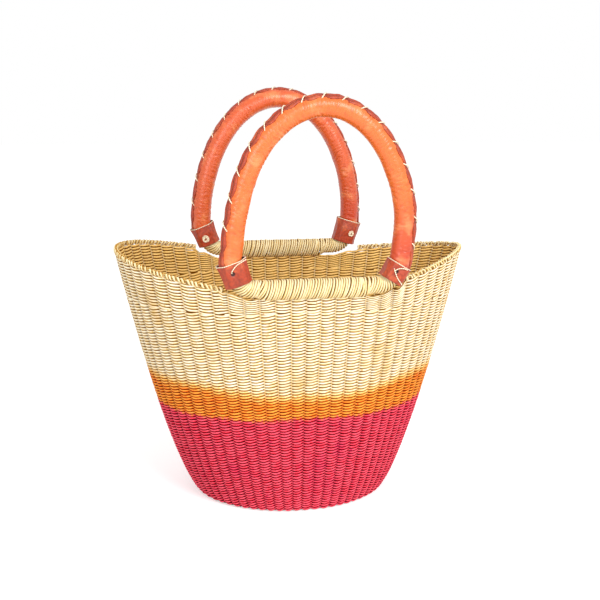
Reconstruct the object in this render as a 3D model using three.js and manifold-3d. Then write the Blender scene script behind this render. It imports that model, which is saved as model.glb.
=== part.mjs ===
// A twined straw basket with a pointed oval mouth and two leather-sleeved ring handles.
// Millimetres, +Z up. The origin is on the floor under the middle of the base, +X runs along the mouth
// and -Y is the front. Each handle is a closed ring of grass: its straight lower bar lies along the rim,
// bound to the wall by a winding that passes through the weave, and the ring can turn inside that winding.
import * as THREE from "three";
import { mergeVertices } from "three/addons/utils/BufferGeometryUtils.js";
import Module from "manifold-3d";

// Basket
const baseHalfLength = 108;
const baseHalfDepth = 86;
const leftMouthLength = 200; // from the middle to the left tip
const rightMouthLength = 197;
const flatHalfDepth = 110; // the flattened sides under the handle bars
const mouthBulge = 12; // how far the mouth's oval would reach past those sides if they were round
const middleHeight = 254; // of the rim under the handle bars
const leftTipRise = 31; // from there up to the left tip
const rightTipRise = 28;
const rimTwist = 4; // the far left and the near right of the rim stand higher than the other two
const wallThickness = 5;
const ribDepth = 1.6; // how far the wall draws in between the ribs that its upright stakes make
const ribStart = 8; // the ribs begin at the base and have their full depth from this height
const redTop = 114; // top of the red rows
const orangeTop = 151; // top of the orange rows
const braidHeight = 6;
const braidWidth = 7.5;

// Handles
const frontHandleWidth = 178; // between the middles of the front handle's legs
const backHandleWidth = 182.5;
const barLift = 7; // middle of the bar above the rim that it lies on
const frontArchHeight = 183.5; // from the bar to the top of the arch, between the middles of the tubes
const backArchHeight = 179;
const frontSpringRise = 49; // from the bar to where the straight legs turn into the arch
const backSpringRise = 37;
const bendRadius = 18; // from the bar up into a leg
const legRadius = 20; // from the splayed foot of a leg to upright
const frontLeftRun = 12; // straight stretch of a foot, between those two bends
const frontRightRun = 8;
const backLeftRun = 14;
const backRightRun = 8;
const frontLean = 5.6; // the front arch leans this far to the right
const backLean = 1.5;
const leanRise = 89; // from this far above the bar the arch is shifted by the whole lean
const barRadius = 6.5; // grass core where it is bound to the rim
const archRadius = 9.2; // grass core inside the leather
const sleeveThickness = 1.6;

// Trim
const strandThickness = 1.6;
const endStrandWidth = 3;
const footReach = 32.5; // from the middle of a leg in to the end of the binding on the bar
const loopPitch = 6; // about, between the loops of that binding
const loopGap = 1.6; // left between two loops
const frontLeftCuffLength = 23.6;
const frontRightCuffLength = 19;
const backLeftCuffLength = 23;
const backRightCuffLength = 27;
const frontLeftCuffWidth = 31;
const frontRightCuffWidth = 27;
const backLeftCuffWidth = 29;
const backRightCuffWidth = 29;
const cuffThickness = 1.6;
const sleeveTuck = 8; // how far the sleeve reaches down into a cuff
const weltHalfWidth = 3.6;
const weltHeight = 2.2;
const threadRadius = 0.6;
const knotRadius = 3.4;
const stitchPitch = 23.5;
const stitchRun = 7; // how far a stitch travels while it crosses the welt

// Clearances
const gap = 0.3; // between touching pieces
const turningGap = 0.4; // between the bar and the winding that it turns in
const overrun = 5; // how far a cutter passes what it cuts

// Angles, counts and shares
const frontLeftTilt = THREE.MathUtils.degToRad(22); // a leg's foot from upright, before the lean
const frontRightTilt = THREE.MathUtils.degToRad(28.5);
const backLeftTilt = THREE.MathUtils.degToRad(23);
const backRightTilt = THREE.MathUtils.degToRad(13.5);
const swing = THREE.MathUtils.degToRad(30); // the handles' travel, inwards and outwards
const frontSeam = THREE.MathUtils.degToRad(-20); // where the welt runs, from straight outwards
const backSeam = THREE.MathUtils.degToRad(4);
const wallFlareShare = 0.72; // below 1, the wall opens faster near the base
const leftFullness = 2; // 2 is an ellipse, less is more pointed
const rightFullness = 1.75;
const braidFullness = 3; // over 2, a section grows squarer
const cuffFullness = 3;
const grooveFullness = 8;
const rimSoftnessShare = 0.42; // how slowly the rim starts to rise towards the tips
const weltCrownShare = 0.7; // of the welt's width, the part that stands at full height
const redRingShares = [0, 0.015, 0.09, 0.4, 1]; // the first two lie beside the base
const naturalRingShares = [0, 1];
const ribCount = 60;
const wallColumns = 2 * ribCount; // a crest and a dip for each rib
const measuringSteps = 12; // for each of those columns, when they are spaced out
const braidSteps = 20;
const tubeSides = 8;
const barStrandSides = 5;
const endStrandSides = 4;
const threadSides = 4;
const loopSteps = 12;
const endLoops = 4;
const archSteps = 8;
const bendSteps = 4;
const cuffSides = 12;
const sweepSteps = 3;

// Sizes that follow from the ones above
const mouthHalfDepth = flatHalfDepth + mouthBulge;
const leftTipHeight = middleHeight + leftTipRise;
const rightTipHeight = middleHeight + rightTipRise;
const axisHeight = middleHeight + barLift; // middle of the bar, which the handle turns about
const barOffset = flatHalfDepth - wallThickness / 2; // the bar lies over the middle of the wall
const sleeveInner = archRadius + gap;
const sleeveRadius = sleeveInner + sleeveThickness;
const cuffHalfDepth = sleeveRadius + gap + cuffThickness;
const strandMiddle = barRadius + turningGap + strandThickness / 2; // radius of a loop's middle round the bar
const strandOuter = strandMiddle + strandThickness / 2;
const lipLoopRadius = wallThickness / 2 + 4 * gap + strandThickness; // of a loop's foot in the wall
const lipLoopHeight = axisHeight - barRadius;
const slotBottom = lipLoopHeight - lipLoopRadius - strandThickness / 2 - turningGap;
const slotTop = lipLoopHeight - lipLoopRadius + strandThickness / 2 + turningGap * 3;
const barStrandWidth = loopPitch - loopGap;
const bindingHalfLength = Math.min(frontHandleWidth, backHandleWidth) / 2 - footReach;
const barLoops = Math.round((2 * bindingHalfLength - barStrandWidth) / loopPitch);
const barPitch = (2 * bindingHalfLength - barStrandWidth) / barLoops;
const braidStart = (frontHandleWidth + frontLeftCuffWidth / 2) / 2;

const straw = { roughness: 0.75, metalness: 0 };
const leather = { roughness: 0.45, metalness: 0 };
const materials = {
  naturalStraw: new THREE.MeshStandardMaterial({ color: 0xe6cf8e, ...straw }),
  orangeStraw: new THREE.MeshStandardMaterial({ color: 0xee8a2a, ...straw }),
  redStraw: new THREE.MeshStandardMaterial({ color: 0xd8264c, ...straw }),
  grassCore: new THREE.MeshStandardMaterial({ color: 0xb99b5e, ...straw }),
  sleeveLeather: new THREE.MeshStandardMaterial({ color: 0xe8622c, ...leather }),
  trimLeather: new THREE.MeshStandardMaterial({ color: 0xb23a24, ...leather }),
  thread: new THREE.MeshStandardMaterial({ color: 0xeadfbe, ...straw }),
};

const wasm = await Module();
wasm.setup();

// A closed body through rings of points. Each ring runs right-handed about the way the rings follow
// each other. A closed row of rings comes back to its first one, any other gets two flat ends.
function skin(rings, closed) {
  const sides = rings[0].length;
  const index = [];
  const spans = closed ? rings.length : rings.length - 1;
  for (let i = 0; i < spans; i++) {
    const near = i * sides;
    const far = ((i + 1) % rings.length) * sides;
    for (let j = 0; j < sides; j++) {
      const k = (j + 1) % sides;
      index.push(near + j, near + k, far + k, near + j, far + k, far + j);
    }
  }
  const end = (rings.length - 1) * sides;
  for (let j = 1; !closed && j < sides - 1; j++) {
    index.push(0, j + 1, j, end, end + j, end + j + 1);
  }
  const points = rings.flat().flatMap((p) => [p.x, p.y, p.z]);
  const geometry = new THREE.BufferGeometry();
  geometry.setAttribute("position", new THREE.Float32BufferAttribute(points, 3));
  geometry.setIndex(index);
  return geometry;
}

// An oval or squarish ring of points about a place, right-handed about the direction along.
function ringAt(place, along, out, halfOut, halfAcross, sides, fullness = 2, start = 0) {
  const across = new THREE.Vector3().crossVectors(along, out).normalize();
  return Array.from({ length: sides }, (_, i) => {
    const turn = start + (i / sides) * 2 * Math.PI;
    return place
      .clone()
      .addScaledVector(out, halfOut * signedPower(Math.cos(turn), 2 / fullness))
      .addScaledVector(across, halfAcross * signedPower(Math.sin(turn), 2 / fullness));
  });
}

function signedPower(value, power) {
  return Math.sign(value) * Math.abs(value) ** power;
}

function solidOf(geometry) {
  const bare = geometry.clone();
  bare.deleteAttribute("normal");
  bare.deleteAttribute("uv");
  const merged = mergeVertices(bare, gap / 1000);
  return new wasm.Manifold(
    new wasm.Mesh({
      numProp: 3,
      vertProperties: new Float32Array(merged.attributes.position.array),
      triVerts: new Uint32Array(merged.index.array),
    }),
  );
}

function geometryOf(solid) {
  const mesh = solid.getMesh();
  const geometry = new THREE.BufferGeometry();
  geometry.setAttribute("position", new THREE.BufferAttribute(mesh.vertProperties, 3));
  geometry.setIndex(new THREE.BufferAttribute(mesh.triVerts, 1));
  return geometry;
}

function cut(geometry, cutters) {
  let solid = solidOf(geometry);
  for (const cutter of cutters) solid = solid.subtract(solidOf(cutter));
  return geometryOf(solid);
}

// Basket wall. turn goes round the mouth from the right tip, and z is the height on the outer surface.
function outerPoint(turn, z) {
  const tip = Math.max(leftTipHeight, rightTipHeight);
  const fullness = 2 + ((Math.cos(turn) < 0 ? leftFullness : rightFullness) - 2) * (z / tip);
  const rise = Math.max(z / tip, 0) ** wallFlareShare;
  const sideRise = Math.max(z / middleHeight, 0) ** wallFlareShare;
  const mouthLength = Math.cos(turn) < 0 ? leftMouthLength : rightMouthLength;
  const halfLength = baseHalfLength + (mouthLength - baseHalfLength) * rise;
  const halfDepth = baseHalfDepth + (mouthHalfDepth - baseHalfDepth) * sideRise;
  const flat = baseHalfDepth + (flatHalfDepth - baseHalfDepth) * sideRise;
  const x = halfLength * signedPower(Math.cos(turn), 2 / fullness);
  const y = halfDepth * signedPower(Math.sin(turn), 2 / fullness);
  return new THREE.Vector3(x, THREE.MathUtils.clamp(y, -flat, flat), z);
}

// The outer surface's normal, from two short steps on it.
function outwards(turn, z) {
  const step = Math.PI / 2 / braidSteps;
  const round = outerPoint(turn + step, z).sub(outerPoint(turn - step, z));
  const up = outerPoint(turn, z + wallThickness).sub(outerPoint(turn, z));
  return round.cross(up).normalize();
}

function wallPoint(turn, z, depth) {
  return outerPoint(turn, z).addScaledVector(outwards(turn, z), -depth);
}

// Height of the rim, lowest along the middle and rising to both tips.
function rimHeight(turn) {
  const left = Math.cos(turn) < 0;
  const tip = left ? leftTipHeight : rightTipHeight;
  const reach = Math.abs(Math.cos(turn)) ** (2 / (left ? leftFullness : rightFullness));
  const soft = rimSoftnessShare;
  const rise = (Math.hypot(reach, soft) - soft) / (Math.hypot(1, soft) - soft);
  const twist = rimTwist * Math.sin(2 * turn);
  return middleHeight + (tip - middleHeight) * rise - twist * reach;
}

// Turns of the ribs' crests and dips, evenly spaced along the wall from the middle of the front.
function evenTurns() {
  const fine = wallColumns * measuringSteps;
  const turns = Array.from({ length: fine + 1 }, (_, i) => (i / fine) * 2 * Math.PI - Math.PI / 2);
  const lengths = [0];
  for (let i = 1; i <= fine; i++) {
    const step = outerPoint(turns[i], orangeTop).distanceTo(outerPoint(turns[i - 1], orangeTop));
    lengths.push(lengths[i - 1] + step);
  }
  return Array.from({ length: wallColumns }, (_, i) => {
    const wanted = (lengths[fine] * i) / wallColumns;
    const next = lengths.findIndex((length) => length > wanted);
    const part = (wanted - lengths[next - 1]) / (lengths[next] - lengths[next - 1]);
    return THREE.MathUtils.lerp(turns[next - 1], turns[next], part);
  });
}

// The columns of one face of the wall. Even ones stand out over a stake, odd ones draw in between two.
function wallRing(height, inside) {
  return wallTurns.map((turn, i) => {
    const z = height(turn);
    const drawn = (i % 2) * ribDepth * THREE.MathUtils.smoothstep(z, 0, ribStart);
    return wallPoint(turn, z, inside ? wallThickness - drawn : drawn);
  });
}

// A shell between heights, which are functions of the turn.
function wallBand(heights) {
  const outer = heights.map((height) => wallRing(height, false));
  const inner = heights.map((height) => wallRing(height, true)).reverse();
  return skin([...outer, ...inner], true);
}

// The edge of the base, moved inwards and upwards.
function baseEdge(inset, height) {
  return wallTurns.map((turn) => {
    const out = outwards(turn, 0).setZ(0).normalize();
    return outerPoint(turn, 0).addScaledVector(out, -inset).setZ(height);
  });
}

function redWall() {
  const outer = redRingShares.map((share) => wallRing(() => share * redTop, false));
  const inner = redRingShares.slice(2).map((share) => wallRing(() => share * redTop, true));
  return skin([...outer, ...inner.reverse(), baseEdge(wallThickness, wallThickness)], true);
}

function orangeWall() {
  return wallBand([() => redTop + gap, () => orangeTop]);
}

function naturalWall() {
  const bottom = orangeTop + gap;
  const heights = naturalRingShares.map((share) => (turn) => bottom + share * (rimHeight(turn) - bottom));
  const cutters = [braidPath(-1, true), braidPath(1, true)];
  for (const side of [-1, 1]) cutters.push(barSeat(side), ...bindingSlots(side), ...handleSweep(side));
  return cut(wallBand(heights), cutters);
}

// The flat woven base, its edge parallel to the mitred lower edge of the wall.
function base() {
  return skin([baseEdge(2 * gap, 0), baseEdge(2 * gap + wallThickness, wallThickness)], false);
}

// The braided border along one end of the rim, or the groove that it lies in.
function braidPath(hand, asGroove) {
  const fullness = hand < 0 ? leftFullness : rightFullness;
  const mouthLength = hand < 0 ? leftMouthLength : rightMouthLength;
  const lengthShare = (braidStart - (asGroove ? gap : 0)) / mouthLength;
  const span = Math.acos(lengthShare ** (fullness / 2));
  const middle = hand < 0 ? Math.PI : 0;
  const top = asGroove ? overrun : 0;
  const under = asGroove ? gap : 0;
  const rings = [];
  for (let i = 0; i <= braidSteps; i++) {
    const turn = middle + span * ((2 * i) / braidSteps - 1);
    const rim = rimHeight(turn);
    const low = rim - braidHeight - under;
    const place = wallPoint(turn, (low + rim + top) / 2, wallThickness / 2);
    const out = outwards(turn, rim).setZ(0).normalize();
    const along = new THREE.Vector3(-out.y, out.x, 0);
    const halfWidth = asGroove ? braidWidth / 2 + overrun : braidWidth / 2;
    const fullnessHere = asGroove ? grooveFullness : braidFullness;
    rings.push(ringAt(place, along, out, halfWidth, (rim + top - low) / 2, tubeSides, fullnessHere));
  }
  return skin(rings, false);
}

function braid(hand) {
  return cut(braidPath(hand, false), [...handleSweep(-1), ...handleSweep(1)]);
}

// One half of a handle ring, as lengths along it from the middle of the bar: the bar, the bend up
// into the foot, the straight run through the cuff, the bend to upright, the leg and half of the arch.
function legShape(arch, tilt, run, cuffLength, cuffWidth) {
  const halfSpan = arch.width / 2;
  const archRise = arch.height - arch.springRise;
  const springHeight = axisHeight + arch.springRise;
  const footTurn = Math.PI / 2 - tilt;
  const splay = run * Math.sin(tilt) + legRadius * (1 - Math.cos(tilt));
  const barEnd = halfSpan - bendRadius * Math.sin(footTurn) - splay;
  const footBottom = axisHeight + bendRadius * (1 - Math.cos(footTurn));
  const legBottom = footBottom + run * Math.cos(tilt) + legRadius * Math.sin(tilt);
  const bendEnd = barEnd + bendRadius * footTurn;
  const runEnd = bendEnd + run;
  const legStart = runEnd + legRadius * tilt;
  const archStart = legStart + springHeight - legBottom;
  const archEnd = archStart + (Math.PI / 2) * Math.hypot(halfSpan, archRise) * Math.SQRT1_2;
  const cuffMiddle = (bendEnd + runEnd) / 2;
  const cuffTop = cuffMiddle + cuffLength / 2;
  const sleeveStart = cuffTop - sleeveTuck;
  const weltStart = cuffTop + 2 * gap + 2 * threadRadius;
  return {
    halfSpan,
    archRise,
    springHeight,
    cuffLength,
    cuffWidth,
    tilt,
    footTurn,
    footBottom,
    legBottom,
    barEnd,
    bendEnd,
    runEnd,
    legStart,
    archStart,
    archEnd,
    cuffMiddle,
    cuffTop,
    sleeveStart,
    weltStart,
  };
}

function legPoint(leg, s) {
  if (s <= leg.barEnd) return [s, axisHeight];
  if (s <= leg.bendEnd) {
    const turn = (s - leg.barEnd) / bendRadius;
    return [leg.barEnd + bendRadius * Math.sin(turn), axisHeight + bendRadius * (1 - Math.cos(turn))];
  }
  if (s <= leg.legStart) {
    const run = Math.min(s, leg.runEnd) - leg.bendEnd;
    const left = leg.tilt - Math.max(s - leg.runEnd, 0) / legRadius;
    const drop = legRadius * (Math.cos(left) - Math.cos(leg.tilt));
    const climb = legRadius * (Math.sin(leg.tilt) - Math.sin(left));
    const x = leg.barEnd + bendRadius * Math.sin(leg.footTurn) + run * Math.sin(leg.tilt) + drop;
    return [x, leg.footBottom + run * Math.cos(leg.tilt) + climb];
  }
  if (s <= leg.archStart) return [leg.halfSpan, leg.legBottom + s - leg.legStart];
  const turn = ((s - leg.archStart) / (leg.archEnd - leg.archStart)) * (Math.PI / 2);
  return [leg.halfSpan * Math.cos(turn), leg.springHeight + leg.archRise * Math.sin(turn)];
}

// A point on the ring's middle line. s runs from the middle of the bar, positive to the right, and
// may pass the top of the arch either way.
function ringPoint(handle, s) {
  const { left, right } = handle;
  const around = left.archEnd + right.archEnd;
  const wrapped = s > right.archEnd ? s - around : s;
  const within = wrapped < -left.archEnd ? wrapped + around : wrapped;
  const [x, z] = legPoint(within < 0 ? left : right, Math.abs(within));
  const lean = handle.lean * THREE.MathUtils.smoothstep(z, axisHeight, axisHeight + leanRise);
  return new THREE.Vector3(Math.sign(within) * x + lean, handle.side * barOffset, z);
}

function legOf(handle, hand) {
  return hand < 0 ? handle.left : handle.right;
}

// Place, direction and outward normal on the ring.
function ringFrame(handle, s) {
  const place = ringPoint(handle, s);
  const along = ringPoint(handle, s + gap).sub(ringPoint(handle, s - gap)).normalize();
  return { place, along, out: new THREE.Vector3(along.z, 0, -along.x) };
}

// Stations over the arch, from a named place on the right leg to the same one on the left leg.
function archStations(handle, from) {
  const climb = (leg) => {
    const places = [leg.sleeveStart, leg.cuffTop, leg.weltStart, leg.legStart, leg.archStart];
    const stations = places.filter((s) => s >= leg[from]);
    for (let i = 1; i < archSteps; i++) {
      stations.push(leg.archStart + ((leg.archEnd - leg.archStart) * i) / archSteps);
    }
    return stations;
  };
  const { left, right } = handle;
  const around = left.archEnd + right.archEnd;
  const down = climb(left).map((s) => around - s).reverse();
  return [...climb(right), right.archEnd, ...down];
}

// Stations of the bend between the bar and a foot.
function bendStations(leg) {
  const length = bendRadius * leg.footTurn;
  return Array.from({ length: bendSteps + 1 }, (_, i) => leg.barEnd + (length * i) / bendSteps);
}

function core(handle) {
  const { left, right } = handle;
  const up = archStations(handle, "sleeveStart");
  const around = [...bendStations(left).map((s) => -s).reverse(), 0, ...bendStations(right), ...up];
  const rings = around.map((s) => {
    const { place, along, out } = ringFrame(handle, s);
    const radius = s > right.bendEnd ? archRadius : barRadius;
    return ringAt(place, along, out, radius, radius, tubeSides);
  });
  return skin(rings, true);
}

function hollowTube(handle, stations, section) {
  const outer = stations.map((s) => section(ringFrame(handle, s), false));
  const inner = stations.map((s) => section(ringFrame(handle, s), true)).reverse();
  return skin([...outer, ...inner], true);
}

function sleeve(handle) {
  return hollowTube(handle, archStations(handle, "sleeveStart"), ({ place, along, out }, inside) => {
    const radius = inside ? sleeveInner : sleeveRadius;
    return ringAt(place, along, out, radius, radius, tubeSides);
  });
}

// A point at a radius from the ring's middle line, turned from straight outwards.
function offRing(handle, s, radius, turn) {
  const { place, along, out } = ringFrame(handle, s);
  const across = new THREE.Vector3().crossVectors(along, out);
  return place
    .addScaledVector(out, radius * Math.cos(turn))
    .addScaledVector(across, radius * Math.sin(turn));
}

// The folded seam edge that stands up along the outside of the arch.
function welt(handle) {
  const low = sleeveRadius + gap;
  const high = low + weltHeight;
  const wide = weltHalfWidth / low;
  const crown = wide * weltCrownShare;
  const rings = archStations(handle, "weltStart").map((s) => [
    offRing(handle, s, low + weltHeight / 2, handle.seam - wide),
    offRing(handle, s, high, handle.seam - crown),
    offRing(handle, s, high, handle.seam + crown),
    offRing(handle, s, low + weltHeight / 2, handle.seam + wide),
    offRing(handle, s, low, handle.seam + crown),
    offRing(handle, s, low, handle.seam - crown),
  ]);
  return skin(rings, false);
}

// One thread that crosses the welt at every stitch and runs back beside it to the next.
function lacing(handle) {
  const radius = sleeveRadius + gap + weltHeight + gap + threadRadius;
  const wide = weltHalfWidth / radius;
  const { left, right } = handle;
  const length = left.archEnd - left.weltStart + right.archEnd - right.weltStart;
  const count = Math.floor((length - stitchRun) / stitchPitch);
  const first = right.weltStart + (length - count * stitchPitch) / 2;
  const points = [];
  for (let i = 0; i < count; i++) {
    const s = first + i * stitchPitch;
    points.push(offRing(handle, s, radius, handle.seam + wide));
    points.push(offRing(handle, s + stitchRun / 2, radius, handle.seam));
    points.push(offRing(handle, s + stitchRun, radius, handle.seam - wide));
    points.push(offRing(handle, s + (stitchRun + stitchPitch) / 2, radius, handle.seam));
  }
  points.pop();
  const rings = points.map((place, i) => {
    const before = points[Math.max(i - 1, 0)];
    const after = points[Math.min(i + 1, points.length - 1)];
    const along = after.clone().sub(before).normalize();
    const up = place.clone().sub(new THREE.Vector3(0, place.y, left.springHeight));
    const out = up.addScaledVector(along, -up.dot(along)).normalize();
    return ringAt(place, along, out, threadRadius, threadRadius, threadSides);
  });
  return skin(rings, false);
}

// A cuff's middle and its own axis, from where the ring enters it to where the ring leaves it.
function cuffFrame(handle, hand) {
  const { cuffTop, cuffLength } = legOf(handle, hand);
  const low = ringPoint(handle, hand * (cuffTop - cuffLength));
  const high = ringPoint(handle, hand * cuffTop);
  const along = high.clone().sub(low).normalize();
  return { place: low.add(high).divideScalar(2), along, out: new THREE.Vector3(along.z, 0, -along.x) };
}

// A folded square of leather round a leg's foot.
function cuffBody(handle, hand, grow) {
  const { place, along, out } = cuffFrame(handle, hand);
  const { cuffLength, cuffWidth } = legOf(handle, hand);
  const section = (step, trim) => {
    const middle = place.clone().addScaledVector(along, step);
    const halves = [cuffWidth / 2 - trim, cuffHalfDepth - trim];
    return ringAt(middle, along, out, ...halves, cuffSides, cuffFullness);
  };
  const half = cuffLength / 2 + grow;
  const outer = [section(-half, -grow), section(half, -grow)];
  if (grow) return skin(outer, false);
  return skin([...outer, section(half, cuffThickness), section(-half, cuffThickness)], true);
}

// A turn of thread round the sleeve, on the cuff's upper edge.
function cuffThread(handle, hand) {
  const lift = gap + threadRadius;
  const cuff = cuffFrame(handle, hand);
  const { cuffTop, cuffLength } = legOf(handle, hand);
  const place = ringPoint(handle, hand * (cuffTop + lift));
  const height = place.clone().sub(cuff.place).dot(cuff.along);
  place.addScaledVector(cuff.along, cuffLength / 2 + lift - height);
  const radius = sleeveRadius + 4 * gap + lift;
  const geometry = new THREE.TorusGeometry(radius, threadRadius, threadSides, loopSteps);
  const facing = new THREE.Quaternion().setFromUnitVectors(new THREE.Vector3(0, 0, 1), cuff.along);
  return geometry.applyQuaternion(facing).translate(place.x, place.y, place.z);
}

// A small coiled knot flat on the cuff's inner face.
function cuffKnot(handle, hand) {
  const { place } = cuffFrame(handle, hand);
  const geometry = new THREE.TorusGeometry(knotRadius, threadRadius, threadSides, loopSteps);
  geometry.rotateX(Math.PI / 2);
  return geometry.translate(place.x, place.y - handle.side * (cuffHalfDepth + gap + threadRadius), place.z);
}

// The middle of the strand in a loop round the bar and the lip of the wall. phase 0 is in the wall.
function loopPoint(side, x, phase) {
  const turn = phase * 2 * Math.PI - Math.PI / 2;
  const facing = new THREE.Vector3(0, Math.cos(turn), Math.sin(turn));
  const upper = Math.sin(turn) * axisHeight + strandMiddle;
  const lower = Math.sin(turn) * lipLoopHeight + lipLoopRadius;
  const onBar = upper > lower;
  const place = new THREE.Vector3(x, side * barOffset, onBar ? axisHeight : lipLoopHeight);
  return { place: place.addScaledVector(facing, onBar ? strandMiddle : lipLoopRadius), facing };
}

// The straw winding that binds the bar to the wall, one unbroken strand.
function barBinding(side) {
  const stations = [];
  for (let i = 0; i <= barLoops * loopSteps; i++) {
    const loops = i / loopSteps;
    const phase = loops % 1;
    const advance = Math.floor(loops) + phase - Math.sin(phase * 2 * Math.PI) / (2 * Math.PI);
    stations.push(loopPoint(side, barPitch * (advance - barLoops / 2), phase));
  }
  return winding("bar binding", stations, barStrandWidth, barStrandSides);
}

// The same straw wound on round the bend and up into the cuff.
function endWrap(handle, hand) {
  const start = bindingHalfLength + gap + endStrandWidth / 2 + turningGap;
  const stretch = legOf(handle, hand).bendEnd - start;
  const stations = [];
  for (let i = 0; i <= endLoops * loopSteps; i++) {
    const s = hand * (start + (stretch * i) / (endLoops * loopSteps));
    const turn = (i / loopSteps) * 2 * Math.PI;
    const { place, along, out } = ringFrame(handle, s);
    const across = new THREE.Vector3().crossVectors(along, out);
    const facing = out.multiplyScalar(Math.cos(turn)).addScaledVector(across, Math.sin(turn));
    stations.push({ place: place.addScaledVector(facing, strandMiddle), facing });
  }
  return winding("end wrap", stations, endStrandWidth, endStrandSides);
}

function winding(name, stations, width, sides) {
  const rings = stations.map(({ place, facing }, i) => {
    const before = stations[Math.max(i - 1, 0)].place;
    const after = stations[Math.min(i + 1, stations.length - 1)].place;
    const along = after.clone().sub(before).normalize();
    const out = facing.clone().addScaledVector(along, -facing.dot(along)).normalize();
    return ringAt(place, along, out, strandThickness / 2, width / 2, sides, 2, Math.PI / 2);
  });
  console.log(name, "least gap to itself", leastGap(rings).toFixed(2), "mm");
  return skin(rings, false);
}

// Least distance between points of the strand that are at least half a loop apart.
function leastGap(rings) {
  let least = Infinity;
  rings.forEach((ring, i) => {
    for (let j = i + loopSteps / 2; j < Math.min(i + 2 * loopSteps, rings.length); j++) {
      for (const p of ring) for (const q of rings[j]) least = Math.min(least, p.distanceTo(q));
    }
  });
  return least;
}

// Cutters for the wall
function barSeat(side) {
  const radius = barRadius + gap;
  const seat = new THREE.CylinderGeometry(radius, radius, 2 * (bindingHalfLength + gap), 2 * tubeSides);
  return seat.rotateZ(Math.PI / 2).translate(0, side * barOffset, axisHeight);
}

function bindingSlots(side) {
  const width = barStrandWidth + 2 * turningGap;
  const height = slotTop - slotBottom;
  return Array.from({ length: barLoops + 1 }, (_, i) => {
    const slot = new THREE.BoxGeometry(width, wallThickness + 2 * overrun, height);
    return slot.translate(barPitch * (i - barLoops / 2), side * barOffset, slotBottom + height / 2);
  });
}

// The room that a handle's wrapped feet and cuffs need while the handle turns.
function handleSweep(side) {
  const handle = handles.find((h) => h.side === side);
  const clear = strandOuter + gap;
  const shapes = [];
  for (const hand of [-1, 1]) {
    const stations = [bindingHalfLength + gap, ...bendStations(legOf(handle, hand))];
    const ordered = hand < 0 ? stations.map((s) => -s).reverse() : stations;
    const foot = ordered.map((s) => {
      const { place, along, out } = ringFrame(handle, s);
      return ringAt(place, along, out, clear, clear, cuffSides);
    });
    shapes.push(skin(foot, false), cuffBody(handle, hand, gap));
  }
  const cutters = [];
  for (let i = 0; i <= sweepSteps; i++) {
    const turned = new THREE.Matrix4()
      .makeTranslation(0, side * barOffset, axisHeight)
      .multiply(new THREE.Matrix4().makeRotationX(swing * ((2 * i) / sweepSteps - 1)))
      .multiply(new THREE.Matrix4().makeTranslation(0, -side * barOffset, -axisHeight));
    for (const shape of shapes) cutters.push(shape.clone().applyMatrix4(turned));
  }
  return cutters;
}

const frontArch = { width: frontHandleWidth, height: frontArchHeight, springRise: frontSpringRise };
const backArch = { width: backHandleWidth, height: backArchHeight, springRise: backSpringRise };
const handles = [
  {
    name: "front",
    side: -1,
    lean: frontLean,
    seam: frontSeam,
    left: legShape(frontArch, frontLeftTilt, frontLeftRun, frontLeftCuffLength, frontLeftCuffWidth),
    right: legShape(frontArch, frontRightTilt, frontRightRun, frontRightCuffLength, frontRightCuffWidth),
  },
  {
    name: "back",
    side: 1,
    lean: backLean,
    seam: backSeam,
    left: legShape(backArch, backLeftTilt, backLeftRun, backLeftCuffLength, backLeftCuffWidth),
    right: legShape(backArch, backRightTilt, backRightRun, backRightCuffLength, backRightCuffWidth),
  },
];
const wallTurns = evenTurns();

const basket = new THREE.Group();

function add(name, geometry, material) {
  const mesh = new THREE.Mesh(geometry, material);
  mesh.name = name;
  basket.add(mesh);
}

add("base_disc", base(), materials.redStraw);
add("wall_red", redWall(), materials.redStraw);
add("wall_orange", orangeWall(), materials.orangeStraw);
add("wall_natural", naturalWall(), materials.naturalStraw);
add("rim_braid_left", braid(-1), materials.naturalStraw);
add("rim_braid_right", braid(1), materials.naturalStraw);

for (const handle of handles) {
  const piece = (name) => handle.name + "_" + name;
  add(piece("bar_binding"), barBinding(handle.side), materials.naturalStraw);
  add(piece("handle_core"), core(handle), materials.grassCore);
  add(piece("leather_sleeve"), sleeve(handle), materials.sleeveLeather);
  add(piece("seam_welt"), welt(handle), materials.trimLeather);
  add(piece("seam_lacing"), lacing(handle), materials.thread);
  for (const [hand, place] of [
    [-1, "left"],
    [1, "right"],
  ]) {
    add(piece("end_wrap_" + place), endWrap(handle, hand), materials.naturalStraw);
    add(piece("cuff_" + place), cuffBody(handle, hand, 0), materials.trimLeather);
    add(piece("cuff_thread_" + place), cuffThread(handle, hand), materials.thread);
    add(piece("cuff_knot_" + place), cuffKnot(handle, hand), materials.thread);
  }
}

export default basket;
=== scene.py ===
# Twined straw market basket with a dip-dyed wall and two leather-sleeved ring handles.
# Metres, +Z up, -Y the front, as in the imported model.
import math

import bpy
from mathutils import Matrix, Vector, noise


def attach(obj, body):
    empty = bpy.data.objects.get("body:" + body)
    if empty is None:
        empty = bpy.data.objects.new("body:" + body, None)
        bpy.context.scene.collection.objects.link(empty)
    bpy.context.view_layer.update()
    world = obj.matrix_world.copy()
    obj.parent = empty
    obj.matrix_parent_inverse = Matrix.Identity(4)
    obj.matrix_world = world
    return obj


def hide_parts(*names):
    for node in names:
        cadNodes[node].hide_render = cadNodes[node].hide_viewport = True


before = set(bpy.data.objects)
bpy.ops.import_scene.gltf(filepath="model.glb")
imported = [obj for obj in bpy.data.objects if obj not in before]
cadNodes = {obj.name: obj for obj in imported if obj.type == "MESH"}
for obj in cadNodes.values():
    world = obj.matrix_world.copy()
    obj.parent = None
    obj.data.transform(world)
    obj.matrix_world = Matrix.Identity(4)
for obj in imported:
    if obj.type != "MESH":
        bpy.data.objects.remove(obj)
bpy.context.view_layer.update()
print("frame loaded:", len(cadNodes), "nodes")

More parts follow.
